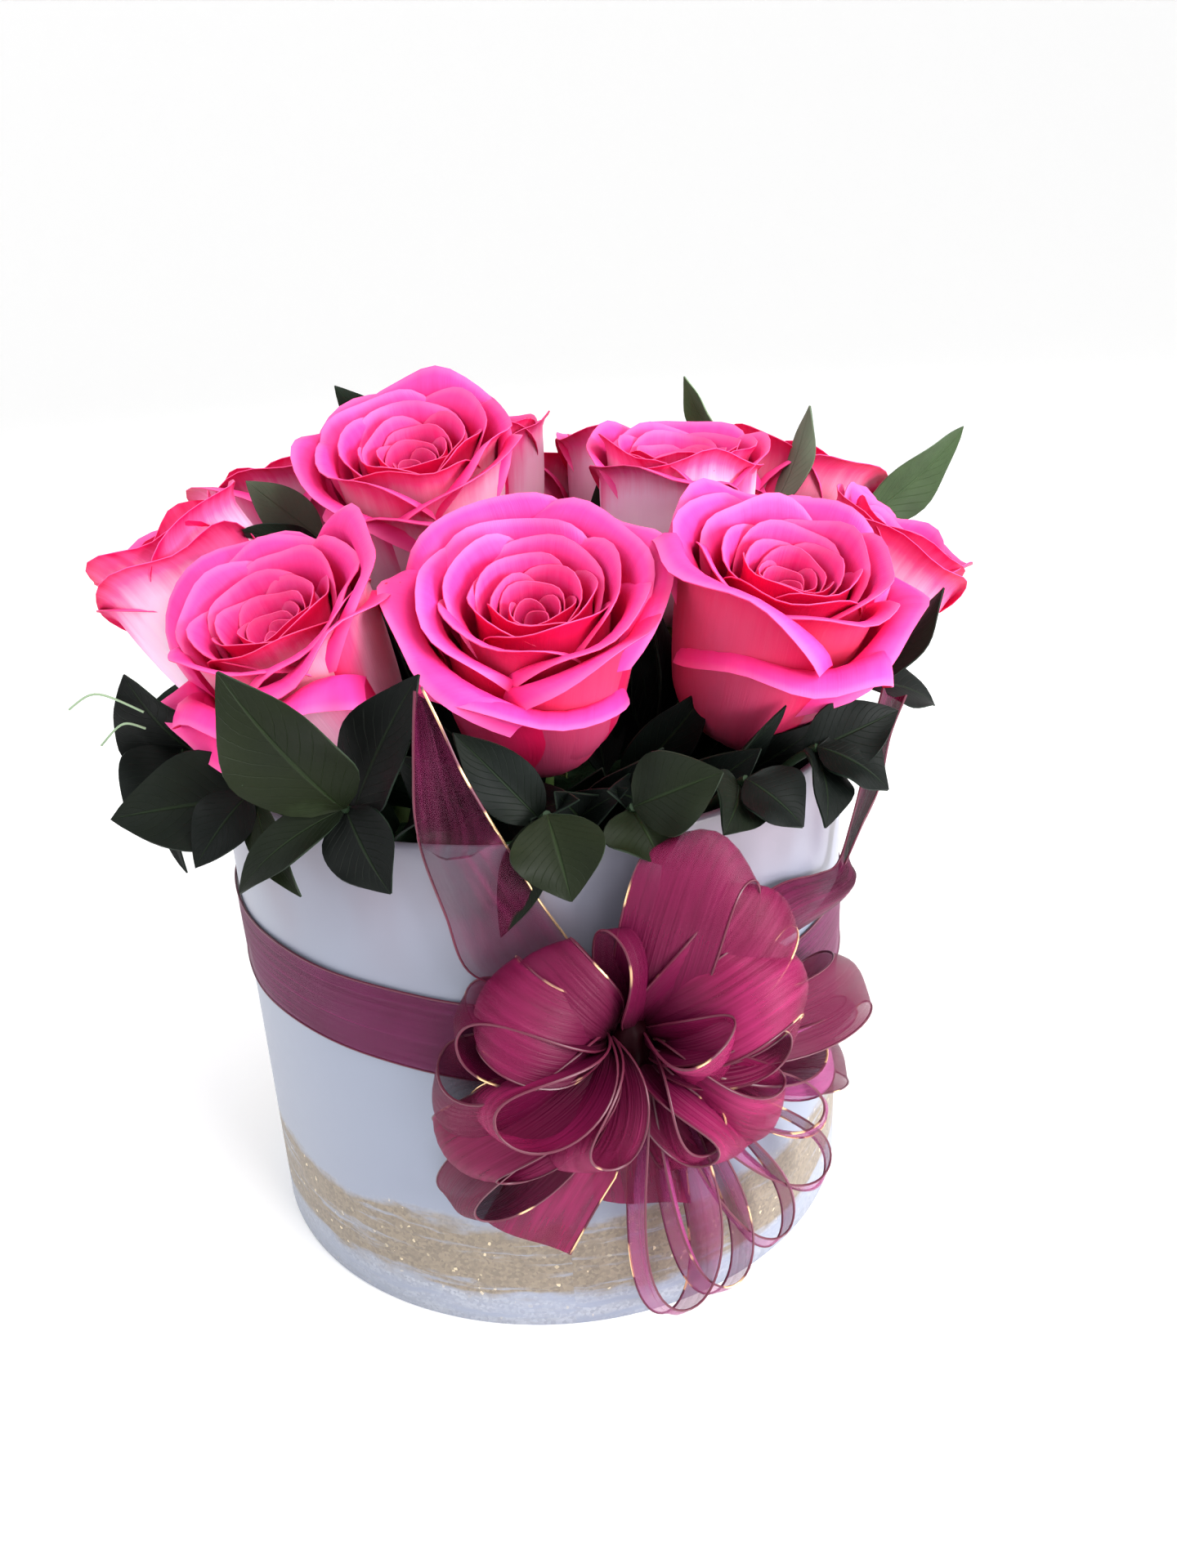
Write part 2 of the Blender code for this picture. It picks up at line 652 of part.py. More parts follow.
def build_bow(organza):
    """The knot with its loops and tails, in one piece that stands clear of the band and the straps."""
    profile = [(math.sin(a), -math.cos(a)) for a in np.linspace(0, math.pi, 6)]
    profile = [(r if 0 < k < 5 else 0, z) for k, (r, z) in enumerate(profile)]
    knot = turned("bow", profile, 8, organza)
    centre = on_wall(np.array(0.0), np.array(0.0), np.array(KNOT_STANDOFF))
    knot.data.transform(Matrix.Rotation(KNOT_AZIMUTH, 4, "Z") @ Matrix.Diagonal((*KNOT_SIZE, 1)))
    knot.data.transform(Matrix.Translation(centre))
    strips = []
    for kind, heading, *lengths in LOOPS:
        strips.append(loop_grid(kind, math.radians(heading), *(length * MM for length in lengths)))
    for heading, length, standoff in TAILS:
        strips.append(tail_grid(math.radians(heading), length * MM, standoff * MM))
    pieces = []
    for k, strip in enumerate(strips):
        pieces.append(make_object(f"strip_{k}", *grid_slab(strip, RIBBON_THICKNESS)))
    combine(knot, pieces)
    knot.data.materials.clear()
    knot.data.materials.append(organza)
    shade_round(knot, 50)


def main():
    remove_all()
    white = make_material("white_board", (0.80, 0.81, 0.84), 0.35)
    card = make_material("grey_card", (0.62, 0.58, 0.52), 0.8)
    film = make_material("clear_film", (0.75, 0.78, 0.80), 0.2)
    foam_green = make_material("foam_green", (0.10, 0.25, 0.09), 0.9)
    pink = make_material("rose_pink", (0.90, 0.06, 0.30), 0.55)
    stem_green = make_material("stem_green", (0.16, 0.32, 0.09), 0.6)
    leaf_green = make_material("leaf_green", (0.03, 0.10, 0.04), 0.4)
    organza = make_material("plum_organza", (0.30, 0.02, 0.10), 0.4)
    build_box(white, card, film)
    holes = []
    for name, (face, way, lean, size, opening, turn) in ROSES.items():
        base, axis = rose_frame(face, way, lean, size)
        rows = PETAL_ROWS if name in FULL_ROSES else PLAIN_ROWS
        bloom = build_bloom(f"bloom_{name}", size, opening, turn, rows, pink)
        bloom.matrix_world = Matrix.Translation(base) @ axis.to_track_quat("Z", "Y").to_matrix().to_4x4()
        hole = (base.x * HOLE_PULL, base.y * HOLE_PULL)
        build_stem(f"stem_{name}", base, axis, hole, stem_green)
        holes.append((*hole, STEM_RADIUS, STEM_DEPTH, STEM_SIDES))
    for name, (hole, end, leaves) in SPRAYS.items():
        holes.append(build_spray(f"spray_{name}", hole, end, leaves, leaf_green))
    for name, (azimuth, turns) in BACK_SPRAYS.items():
        holes.append(build_spray(f"spray_{name}", *back_spray(azimuth, turns), leaf_green))
    build_foam(holes, foam_green)
    build_band(organza)
    build_strap("ribbon_strap_left", LEFT_STRAP_WALL, LEFT_STRAP_FREE, LEFT_STRAP_WIDTH, organza)
    build_strap("ribbon_strap_right", RIGHT_STRAP_WALL, RIGHT_STRAP_FREE, RIGHT_STRAP_WIDTH, organza)
    build_bow(organza)


main()
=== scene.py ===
# %% [markdown]
# # A hat box of roses
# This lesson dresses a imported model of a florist's rose box: twelve two-coloured roses over dark leafy
# sprays, in a round white box with a strip of glitter paint, tied with a sheer plum ribbon and a bow.
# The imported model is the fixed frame. Every piece made here sits where the frame's node sits.

import math

import bpy
import numpy as np
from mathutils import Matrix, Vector


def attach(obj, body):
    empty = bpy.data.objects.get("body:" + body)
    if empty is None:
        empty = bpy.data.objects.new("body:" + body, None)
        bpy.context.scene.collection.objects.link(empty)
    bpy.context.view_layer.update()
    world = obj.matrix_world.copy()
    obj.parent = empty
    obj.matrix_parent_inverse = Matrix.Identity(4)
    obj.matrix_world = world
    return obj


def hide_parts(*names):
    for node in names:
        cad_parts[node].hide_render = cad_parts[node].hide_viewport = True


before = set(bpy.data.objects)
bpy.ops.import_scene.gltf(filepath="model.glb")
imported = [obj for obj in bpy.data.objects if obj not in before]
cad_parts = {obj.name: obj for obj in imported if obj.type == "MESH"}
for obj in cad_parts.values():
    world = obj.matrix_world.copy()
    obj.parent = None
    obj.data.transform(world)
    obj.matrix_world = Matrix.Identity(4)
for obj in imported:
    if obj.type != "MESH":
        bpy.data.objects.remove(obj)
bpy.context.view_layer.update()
print("frame nodes:", len(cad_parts))

# %% [markdown]
# ## The photographer's place
# The picture was taken close by, from a little above the flowers. The camera's place, its axes and its
# lens were worked out from the box's rim, its foot and its sides, whose sizes are known.

# %% Camera
MM = 0.001
CAMERA_PLACE = (0.0, -0.36410, 0.275656)
CAMERA_RIGHT = (0.9963906, -0.06572925, -0.05371621)
CAMERA_UP = (0.07493041, 0.38366684, 0.92042663)
CAMERA_AHEAD = (0.03988982, 0.92112943, -0.38720716)
FOCAL_PIXELS = 1600
IMAGE_HEIGHT = 1919
SENSOR_MM = 36.0


def make_camera():
    data = bpy.data.cameras.new("camera")
    data.sensor_width = SENSOR_MM
    data.lens = SENSOR_MM * FOCAL_PIXELS / IMAGE_HEIGHT
    data.clip_start = 0.01
    camera = bpy.data.objects.new("camera", data)
    axes = np.eye(4)
    axes[:3, 0] = CAMERA_RIGHT
    axes[:3, 1] = CAMERA_UP
    axes[:3, 2] = [-c for c in CAMERA_AHEAD]
    axes[:3, 3] = CAMERA_PLACE
    camera.matrix_world = [tuple(row) for row in axes]
    camera.matrix_world.transpose()
    bpy.context.scene.collection.objects.link(camera)
    bpy.context.scene.camera = camera
    print("camera at", tuple(round(c, 3) for c in camera.location))


make_camera()

# %% [markdown]
# ## Surfaces from grids
# Every new piece is a surface with two parameters, worked out as whole arrays. A thin thing, such as a
# petal or a leaf, is a grid that is pushed half its thickness to each side and closed with a rim, so it
# has a true inside. A round thing is a profile carried round an axis, and a stem is a ring carried
# along a path.

# %% Mesh helpers
def unit(vectors):
    length = np.linalg.norm(vectors, axis=-1, keepdims=True)
    return vectors / np.maximum(length, 1e-12)


def strips(ring, over):
    """Quads between each row of points and the next, where over holds every point's neighbour."""
    return np.stack([ring[:-1], over[:-1], over[1:], ring[1:]], -1).reshape(-1, 4)


def columns(ring, over):
    """Quads between each column and its neighbour column, wound the other way round than strips."""
    return np.stack([ring[:, :-1], ring[:, 1:], over[:, 1:], over[:, :-1]], -1).reshape(-1, 4)


def fan(one, other, tip):
    """Triangles that close a ring of points at one point."""
    return np.stack([one, other, one * 0 + tip], -1)


def end_fans(ring, over):
    """Both ends of a tube of strips, closed at the two points that follow its last ring."""
    return np.concatenate([fan(over[0], ring[0], ring.size), fan(ring[-1], over[-1], ring.size + 1)])


def slab(grid, thickness):
    """A closed sheet: grid plus and minus half the thickness along its normal, and a rim of quads."""
    across, along = grid.shape[:2]
    normal = unit(np.cross(np.gradient(grid, axis=0), np.gradient(grid, axis=1)))
    shift = normal * (np.broadcast_to(thickness, (across, along))[..., None] / 2)
    points = np.concatenate([(grid + shift).reshape(-1, 3), (grid - shift).reshape(-1, 3)])
    index = np.arange(across * along).reshape(across, along)
    front = np.stack([index[:-1, :-1], index[1:, :-1], index[1:, 1:], index[:-1, 1:]], -1).reshape(-1, 4)
    ring = np.concatenate([index[:, 0], index[-1, 1:], index[-2::-1, -1], index[0, -2:0:-1]])
    after = np.roll(ring, -1)
    behind = across * along
    rim = np.stack([after, ring, ring + behind, after + behind], -1)
    return points, np.concatenate([front, front[:, ::-1] + behind, rim])


def place_of(shape):
    """Every slab point's (across, along, side): -1 to 1, 0 to 1, and 1 in front or 0 behind."""
    u, v = np.meshgrid(np.linspace(-1, 1, shape[0]), np.linspace(0, 1, shape[1]), indexing="ij")
    return both_sides(u, v)


def both_sides(u, v):
    front = np.stack([u, v, np.ones_like(u)], -1).reshape(-1, 3)
    return np.concatenate([front, front * (1, 1, 0)])


def turned(profile, sides):
    """A closed profile of (radius, height) carried once round the upright axis."""
    profile = np.asarray(profile, float)
    angle = np.linspace(0, 2 * np.pi, sides, endpoint=False)[:, None]
    radius, height = profile[:, 0], profile[:, 1]
    points = np.stack([radius * np.cos(angle), radius * np.sin(angle), height + 0 * angle], -1)
    index = np.arange(sides * len(profile)).reshape(sides, -1)
    over, up = np.roll(index, -1, axis=0), np.roll(index, -1, axis=1)
    both = np.roll(over, -1, axis=1)
    return points.reshape(-1, 3), np.stack([index, over, both, up], -1).reshape(-1, 4)


def tube(path, radii, sides):
    """A ring of that radius carried along a path, closed at each end by a point.

    Each ring lies across the path's direction, and is measured from one sideways direction that is
    square to the path's overall plane, so it doesn't twist."""
    path = np.asarray(path, float)
    ahead = unit(np.gradient(path, axis=0))
    run = path[-1] - path[0]
    lead = np.cross(run, (0, 0, 1.0))
    lead = lead if np.linalg.norm(lead) > 0.05 * np.linalg.norm(run) else np.array((1.0, 0, 0))
    side = unit(lead - ahead * (ahead @ lead)[:, None])
    other = np.cross(ahead, side)
    angle = np.linspace(0, 2 * np.pi, sides, endpoint=False)
    radii = np.broadcast_to(radii, len(path))
    ring = np.cos(angle)[None, :, None] * side[:, None] + np.sin(angle)[None, :, None] * other[:, None]
    points = path[:, None] + ring * radii[:, None, None]
    index = np.arange(len(path) * sides).reshape(len(path), sides)
    over = np.roll(index, -1, axis=1)
    points = np.concatenate([points.reshape(-1, 3), path[:1], path[-1:]])
    return points, strips(index, over), end_fans(index, over)


class Shape:
    """Gathers grids, tubes and their finish values into one mesh."""

    def __init__(self):
        self.points, self.quads, self.triangles, self.places, self.tints = [], [], [], [], []
        self.count = 0

    def add(self, surface, place=None, tint=(0.0, 0.0, 0.0)):
        """Adds a surface: its points in millimetres, its quads, and its triangles if it has any."""
        points, quads, *triangles = surface
        self.points.append(points * MM)
        self.quads.append(quads + self.count)
        self.triangles += [corners + self.count for corners in triangles]
        self.places.append(np.zeros((len(points), 3)) if place is None else place)
        self.tints.append(np.broadcast_to(np.asarray(tint, float), (len(points), 3)))
        self.count += len(points)

    def piece(self, name, finish, slot, sharp=60):
        quads = np.concatenate(self.quads)
        triangles = np.concatenate(self.triangles) if self.triangles else np.zeros((0, 3), int)
        mesh = bpy.data.meshes.new(name)
        mesh.vertices.add(self.count)
        mesh.vertices.foreach_set("co", np.concatenate(self.points).astype(np.float32).ravel())
        loops = np.concatenate([quads.ravel(), triangles.ravel()]).astype(np.int32)
        mesh.loops.add(len(loops))
        mesh.loops.foreach_set("vertex_index", loops)
        sizes = np.concatenate([np.full(len(quads), 4), np.full(len(triangles), 3)])
        mesh.polygons.add(len(sizes))
        mesh.polygons.foreach_set("loop_start", (np.cumsum(sizes) - sizes).astype(np.int32))
        mesh.update(calc_edges=True)
        for label, values in (("place", self.places), ("tint", self.tints)):
            data = mesh.attributes.new(label, "FLOAT_VECTOR", "POINT").data
            data.foreach_set("vector", np.concatenate(values).astype(np.float32).ravel())
        mesh.shade_smooth()
        mesh.set_sharp_from_angle(angle=math.radians(sharp))
        mesh.materials.append(finish)
        obj = bpy.data.objects.new(name, mesh)
        bpy.context.scene.collection.objects.link(obj)
        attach(obj, "root")
        print(f"{name}: {2 * len(quads) + len(triangles)} triangles")
        return obj


def polar(radius, degrees):
    """x and y of a point that far from the box's axis, by its azimuth from the front."""
    angle = np.radians(degrees)
    return radius * np.sin(angle), -radius * np.cos(angle)


def bezier(start, first, second, end, count):
    """Four points weighted by (1-s)^3, 3s(1-s)^2, 3s^2(1-s) and s^3."""
    s = np.linspace(0, 1, count)[:, None]
    start, first, second, end = (np.asarray(p, float) for p in (start, first, second, end))
    return (1 - s) ** 3 * start + 3 * s * (1 - s) ** 2 * first + 3 * s * s * (1 - s) * second + s**3 * end


# %% [markdown]
# ## Shader sums as Python
# A finish is a little program. `Wire` wraps one socket, so that `1 - mask` or `a * b` adds its own Math
# node, and `Finish.add` makes any other node from its type, its settings and its inputs.

# %% Shader helpers
class Wire:
    """One value of a finish. Sums, products and powers of wires add Math nodes."""

    def __init__(self, finish, socket):
        self.finish, self.socket = finish, socket

    def math(self, operation, *others):
        return self.finish.add("Math", {"operation": operation}, dict(enumerate((self, *others))))

    def __add__(self, other):
        return self.math("ADD", other)

    __radd__ = __add__

    def __mul__(self, other):
        return self.math("MULTIPLY", other)

    __rmul__ = __mul__

    def __sub__(self, other):
        return self.math("SUBTRACT", other)

    def __rsub__(self, other):
        return self.finish.add("Math", {"operation": "SUBTRACT"}, {0: other, 1: self})

    def __pow__(self, other):
        return self.math("POWER", other)

    def __abs__(self):
        return self.math("ABSOLUTE")


class Finish:
    """A material with one Principled shader, whose sockets are set by name."""

    def __init__(self, name):
        self.material = bpy.data.materials.new(name)
        self.material.use_nodes = True
        self.tree = self.material.node_tree
        self.shader = self.tree.nodes["Principled BSDF"]

    def put(self, socket, value):
        if isinstance(value, Wire):
            self.tree.links.new(value.socket, socket)
        else:
            socket.default_value = value

    def add(self, kind, settings=None, inputs=None, output=0):
        node = self.tree.nodes.new("ShaderNode" + kind)
        for name, value in (settings or {}).items():
            if name == "stops":
                ramp = node.color_ramp
                while len(ramp.elements) < len(value):
                    ramp.elements.new(1.0)
                for element, (position, colour) in zip(ramp.elements, value):
                    element.position = position
                    element.color = (*colour, 1.0)
            else:
                setattr(node, name, value)
        for name, value in (inputs or {}).items():
            self.put(node.inputs[name], value)
        return Wire(self, node.outputs[output])

    def split(self, vector):
        return [self.add("SeparateXYZ", None, {0: vector}, n) for n in range(3)]

    def read(self, name):
        """The three values that every point of the mesh carries under that name."""
        return self.split(self.add("Attribute", {"attribute_name": name}, None, "Vector"))

    def vector(self, x, y, z=0.0):
        return self.add("CombineXYZ", None, {0: x, 1: y, 2: z})

    def here(self):
        return self.add("TexCoord", None, None, "Object")

    def noise(self, vector, scale, detail=2.0, rough=0.5):
        inputs = {"Vector": vector, "Scale": scale, "Detail": detail, "Roughness": rough}
        return self.add("TexNoise", None, inputs)

    def range(self, value, low, high):
        """The value's share of the way from low to high, eased at both ends."""
        return self.add("MapRange", {"interpolation_type": "SMOOTHSTEP"}, {0: value, 1: low, 2: high})

    def ramp(self, value, stops):
        return self.add("ValToRGB", {"stops": stops}, {0: value})

    def mix(self, share, one, other):
        """The colour that lies that share of the way from one to the other."""
        one, other = (c if isinstance(c, Wire) else (*c, 1.0) for c in (one, other))
        return self.add("Mix", {"data_type": "RGBA"}, {0: share, 6: one, 7: other}, 2)

    def bump(self, height, distance, strength=1.0):
        return self.add("Bump", None, {"Height": height, "Distance": distance, "Strength": strength})

    def set(self, **sockets):
        for name, value in sockets.items():
            socket = self.shader.inputs[name.replace("_", " ")]
            if not isinstance(value, Wire) and socket.type == "RGBA":
                value = (*value, 1.0)
            self.put(socket, value)
        return self.material


# %% [markdown]
# ## The roses' colour
# Each petal is two-coloured. Its inner face is magenta at the lip and deepens to crimson in the cup, and
# its reverse is cream in the middle and hot pink towards its margins. The finish reads where on the
# petal it is, so the colours follow every petal however it curls, and fine streaks run from root to
# lip. The roses in front have darker reverses, and a few inner petals are pale on both faces.

# %% Petal finish
PALE_STOPS = (
    (0.0, (0.99, 0.75, 0.88)),
    (0.40, (0.96, 0.60, 0.84)),
    (0.72, (0.90, 0.12, 0.38)),
    (1.0, (0.72, 0.006, 0.10)),
)
VIVID_STOPS = (
    (0.0, (0.56, 0.020, 0.12)),
    (0.45, (0.62, 0.006, 0.085)),
    (1.0, (0.66, 0.003, 0.065)),
)
OUTER_STOPS = (
    (0.0, (0.72, 0.002, 0.030)),
    (0.45, (0.88, 0.005, 0.11)),
    (0.75, (1.0, 0.018, 0.24)),
    (1.0, (1.0, 0.060, 0.36)),
)
HEART_STOPS = (
    (0.0, (0.70, 0.001, 0.016)),
    (0.55, (0.90, 0.003, 0.070)),
    (0.82, (1.0, 0.016, 0.24)),
    (1.0, (1.0, 0.10, 0.40)),
)


def petal_finish():
    f = Finish("petals_two_colour")
    across, along, outside = f.read("place")
    layer, pale, seed = f.read("tint")
    streak = f.noise(f.vector(across * 5.0, along * 1.3, seed * 31.0), 1.8, 3.0, 0.5)
    fine = f.noise(f.vector(across * 26.0, along * 1.6, seed * 17.0), 2.5, 3.0, 0.6)
    margin = 1 - (1 - abs(across) ** 2.6) * (1 - along**4.0)
    margin = margin + (streak - 0.5) * 0.35 + (fine - 0.5) * 0.10
    outer = f.range(layer, 0.45, 0.80)
    pale_ramp = f.ramp(margin, PALE_STOPS)
    reverse = f.mix(pale.math("MINIMUM", 1.0) * outer, f.ramp(margin, VIVID_STOPS), pale_ramp)
    glow = along + (streak - 0.5) * 0.20 + (fine - 0.5) * 0.06
    inner = f.mix(f.range(layer, 0.25, 0.75), f.ramp(glow, HEART_STOPS), f.ramp(glow, OUTER_STOPS))
    inner = f.mix(f.range(pale, 1.2, 1.6) * 0.85, inner, pale_ramp)
    # Painted highlight: a thin paler line along each lip, where the rolled edge catches the light.
    lip = f.range(along, 0.955, 0.995)
    inner = f.mix(lip * 0.35, inner, (1.0, 0.22, 0.48))
    colour = f.mix(outside, inner, reverse)
    height = fine * 0.5 + streak * 0.5
    return f.set(
        Base_Color=colour,
        Roughness=0.5 + (streak - 0.5) * 0.15,
        Specular_IOR_Level=0.22,
        Subsurface_Weight=0.05,
        Subsurface_Radius=(0.002, 0.0008, 0.0010),
        Subsurface_Scale=1.0,
        Normal=f.bump(height, 0.0004, 0.4),
    )


PETAL = petal_finish()
print("finish:", PETAL.name)

# %% [markdown]
# ## A rose, petal by petal
# A garden rose is a spiral. Each petal is turned about 137.5 degrees on from the last, and the
# further in it is, the shorter, narrower and more upright it stands. A petal is a strip whose lean from
# upright changes from root to lip: out at the cup, up at the belly, and rolled over at the lip. Adding
# up the sine and cosine of the lean along the strip gives its radius and height.

# %% Rose shapes
FACE_HEIGHT = 58
PETALS = 27
PETAL_GRID = (19, 19)
GOLDEN_TURN = math.radians(137.5)

# Each rose: face centre, way it leans, lean, size, opening, turn, how pale the reverse is
ROSES = {
    "front_left": ((-64, -50, 199), (-0.6, -0.8), 26, 0.98, 1.00, 24, 0.55),
    "front_centre": ((3, -60, 202), (0.0, -1.0), 26, 1.02, 1.00, 75, 0.05),
    "front_right": ((70, -44, 201), (0.4, -0.9), 24, 1.05, 1.00, 160, 0.07),
    "far_left": ((-101, 6, 204), (-1.0, 0.15), 33, 1.00, 0.45, 250, 1.0),
    "far_right": ((111, 2, 193), (1.0, -0.1), 34, 0.90, 0.45, 310, 0.5),
    "middle_left": ((-28, 14, 228), (-0.2, -1.0), 24, 1.04, 0.90, 115, 0.6),
    "middle_right": ((48, 17, 219), (0.5, -0.8), 6, 0.92, 0.55, 205, 1.0),
    "back_left": ((-72, 64, 212), (-0.7, 0.7), 18, 0.96, 0.80, 340, 0.8),
    "back_bud": ((-8, 63, 222), (0.0, 1.0), 4, 0.74, 0.40, 30, 0.7),
    "back_centre": ((38, 76, 214), (0.2, 1.0), 10, 0.84, 0.60, 140, 0.8),
    "back_right": ((90, 56, 208), (0.85, 0.5), 23, 0.94, 0.80, 270, 0.3),
    "back": ((4, 105, 198), (0.0, 1.0), 28, 0.94, 0.85, 60, 0.6),
}

# Outer petals that are set one by one: angle round the bloom (270 is its lower side), share folded back,
# length, and the share of the length that is missing at the right edge (+) or the left edge (-)
GUARDS = {
    "front_left": (
        (285, 0.08, 0.97, -0.10), (225, 0.16, 0.80, 0.0), (150, 0.04, 1.0, 0),
        (45, 0, 1.06, 0), (345, 0.06, 1.0, 0),
    ),
    "front_centre": (
        (258, 0.07, 0.98, 0.40), (190, 0.06, 1.02, 0.1), (110, 0.03, 1.0, 0),
        (30, 0.05, 1.0, 0), (318, 0.05, 0.98, 0.1),
    ),
    "front_right": (
        (240, 0.09, 0.94, -0.16), (325, 0.08, 0.92, -0.12), (195, 0.04, 1.14, 0.0),
        (105, 0.03, 0.98, 0), (40, 0.02, 0.9, 0),
    ),
    "middle_left": (
        (262, 0.03, 0.84, 0.0), (205, 0.02, 1.0, 0.1), (125, 0.0, 0.93, 0),
        (55, 0.0, 0.93, 0), (325, 0.03, 0.98, -0.1),
    ),
    "far_left": (
        (5, 0.0, 0.92, 0.06), (285, 0.0, 0.84, 0), (75, 0.0, 0.95, 0),
        (140, 0.0, 0.95, 0), (215, 0.0, 0.86, 0),
    ),
    "far_right": (
        (175, 0.0, 0.95, 0.0), (262, 0.0, 0.86, 0), (100, 0.0, 0.95, 0),
        (30, 0.0, 0.95, 0), (330, 0.0, 0.86, 0),
    ),
}
# Inner petals that are pale on both faces: the rose, and the petal's number from the outside
PALE_INSIDE = (("front_left", 10), ("far_left", 8), ("middle_left", 9))
LIP_THICKNESS = 0.30
ROOT_THICKENING = 0.35
WIDE_BODY = 1.12
ROUNDING = 0.26


def petal_grid(layer, opening, across, along, ruffle, fold=0.0, stretch=1.0, tilt=0.0):
    """A petal's points in millimetres. Layer is 0 at the heart and 1 outside.

    lean(v) runs through cup, belly, shoulder and lip; radius = sum of sin(lean) and height = sum of
    cos(lean), times the length; the width is wrapped round the axis at that radius. Fold is the share
    that is rolled back before the lip, and the ruffle is three random numbers that wave the lip."""
    u, v = np.asarray(across, float), np.asarray(along, float)
    fine = np.linspace(0, 1, 141)
    corner = np.abs(u) ** 1.6
    open_share = 0.3 + 0.7 * opening
    cup = 35 + 50 * layer
    belly = 1 + 7 * layer * open_share
    shoulder = -6 + 17 * layer * open_share
    lip = -14 + (40 + 64 * opening) * layer**1.35 + 30 * opening * layer**3 * corner + fold * 150
    lip = lip + layer * 21 * ruffle[0] * np.sin(2.6 * u + 3 * ruffle[1])
    turn_at = 0.88 - fold
    bend = (0, 0.30 + 0.05 * layer, turn_at, min(turn_at + 0.14, 0.99), 1)
    lean = np.stack([np.interp(fine, bend, (cup, belly, shoulder, tip, tip + 4)) for tip in lip])
    round_off = 1 - ROUNDING * (1 - (1 - np.abs(u) ** 5) ** 0.45)
    length = (38 + 44 * layer - 12 * layer**2) * round_off
    length = length * stretch * (1 - np.abs(tilt) * (1 + np.sign(tilt) * u) / 2)
    length = length * (1 + 0.03 * layer * ruffle[2] * np.sin(4 * u + 5 * ruffle[0]))
    length = length + 2.0 * layer * np.exp(-((u * 2.6) ** 2))
    step = np.radians(lean)
    radius = np.cumsum(np.sin(step), axis=1) / len(fine) * length[:, None] + 1 + 3.5 * layer
    height = np.cumsum(np.cos(step), axis=1) / len(fine) * length[:, None] + 6 * (1 - layer)
    radius = np.stack([np.interp(v, fine, row) for row in radius])
    height = np.stack([np.interp(v, fine, row) for row in height])
    radius = radius * (1 + (WIDE_BODY - 1) * layer * np.sin(np.pi * np.minimum(v / 1.1, 1)))
    outline = 0.35 + 0.65 * np.sin(np.pi / 2 * np.minimum(v / 0.62, 1))
    half_width = (9 + 21 * layer) * outline
    angle = np.minimum(half_width / np.maximum(radius, 2), 1.75) * u[:, None]
    wave = np.sin(5.5 * u[:, None] + 6 * ruffle[1]) * v**3
    radius = radius + layer * v**2 * (1.2 * np.abs(u[:, None]) ** 3) + 0.9 * u[:, None] * v
    radius = radius + 1.7 * layer * wave * ruffle[2]
    height = height + 1.3 * (0.3 + 0.7 * layer) * wave
    return np.stack([radius * np.cos(angle), radius * np.sin(angle), height], axis=2)


def rose_axes(face, way, lean, size):
    """The bloom's base and three axes: its own axis leans that many degrees that way."""
    sideways = Vector((*way, 0)).normalized()
    axis = Vector((0, 0, math.cos(math.radians(lean)))) + sideways * math.sin(math.radians(lean))
    base = Vector(face) - axis * FACE_HEIGHT * size
    turn = axis.to_track_quat("Z", "Y").to_matrix()
    return np.array(base), np.array(axis), np.array(turn)


def turned_about_z(points, angle):
    cos, sin = math.cos(angle), math.sin(angle)
    return points @ np.array(((cos, sin, 0), (-sin, cos, 0), (0, 0, 1)))


def make_rose(name, face, way, lean, size, opening, turn, pale, seed):
    base, axis, axes = rose_axes(face, way, lean, size)
    random = np.random.default_rng(seed)
    guards = GUARDS.get(name, ())
    shape = Shape()
    across = np.sin(np.pi / 2 * np.linspace(-1, 1, PETAL_GRID[0]))
    along = np.linspace(0, 1, PETAL_GRID[1]) ** 0.9
    place = both_sides(*np.meshgrid(across, along, indexing="ij"))
    for k in range(PETALS):
        layer = 1 - k / PETALS
        angle = math.radians(turn) + k * GOLDEN_TURN + random.uniform(-0.09, 0.09)
        ruffle = random.uniform(-1, 1, 3)
        fold, stretch = random.uniform(0, 0.07) * layer * opening, 1.0
        tilt = random.uniform(-0.06, 0.06) * layer
        if k < len(guards):
            degrees, fold, stretch, tilt = guards[k]
            angle = math.radians(degrees)
        grid = petal_grid(layer, opening, across, along, ruffle, fold, stretch, tilt)
        thickness = LIP_THICKNESS + ROOT_THICKENING * (1 - along[None, :]) ** 1.5
        points, quads = slab(grid, thickness)
        points = turned_about_z(points, angle) * size @ axes.T + base
        paleness = pale * random.uniform(0.88, 1.0)
        if (name, k) in PALE_INSIDE:
            paleness = 2.0
        shape.add((points, quads), place, (layer, paleness, k * 0.37 + seed))
    rose = shape.piece(f"rose_{name}", PETAL, "petals")
    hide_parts(f"bloom_{name}")


for seed, (name, values) in enumerate(ROSES.items()):
    make_rose(name, *values, seed=100 + seed)

# %% [markdown]
# ## Stems and sepals
# The stems hardly show, but they carry the blooms, so each runs from the foam to its bloom's base as a
# smooth curve that ends in a swollen cup with five pointed sepals round it.

# %% Stem finish and stems
FOAM_TOP = 126
STEM_RADIUS = 2.3
STEM_DEPTH = 42
CALYX_RADIUS = 6
CALYX_HEIGHT = 8
HOLE_PULL = 0.78
SEAT_GAP = 0.3
SEPALS = 5
SEPAL_THICKNESS = 0.4
CUP_SHARES = (0.2, 0.4, 0.6, 0.8, 1.0)
CUP_RADII = (2.5, 3.6, 4.9, 5.6, 5.9, CALYX_RADIUS)
STEM_STEPS = 14


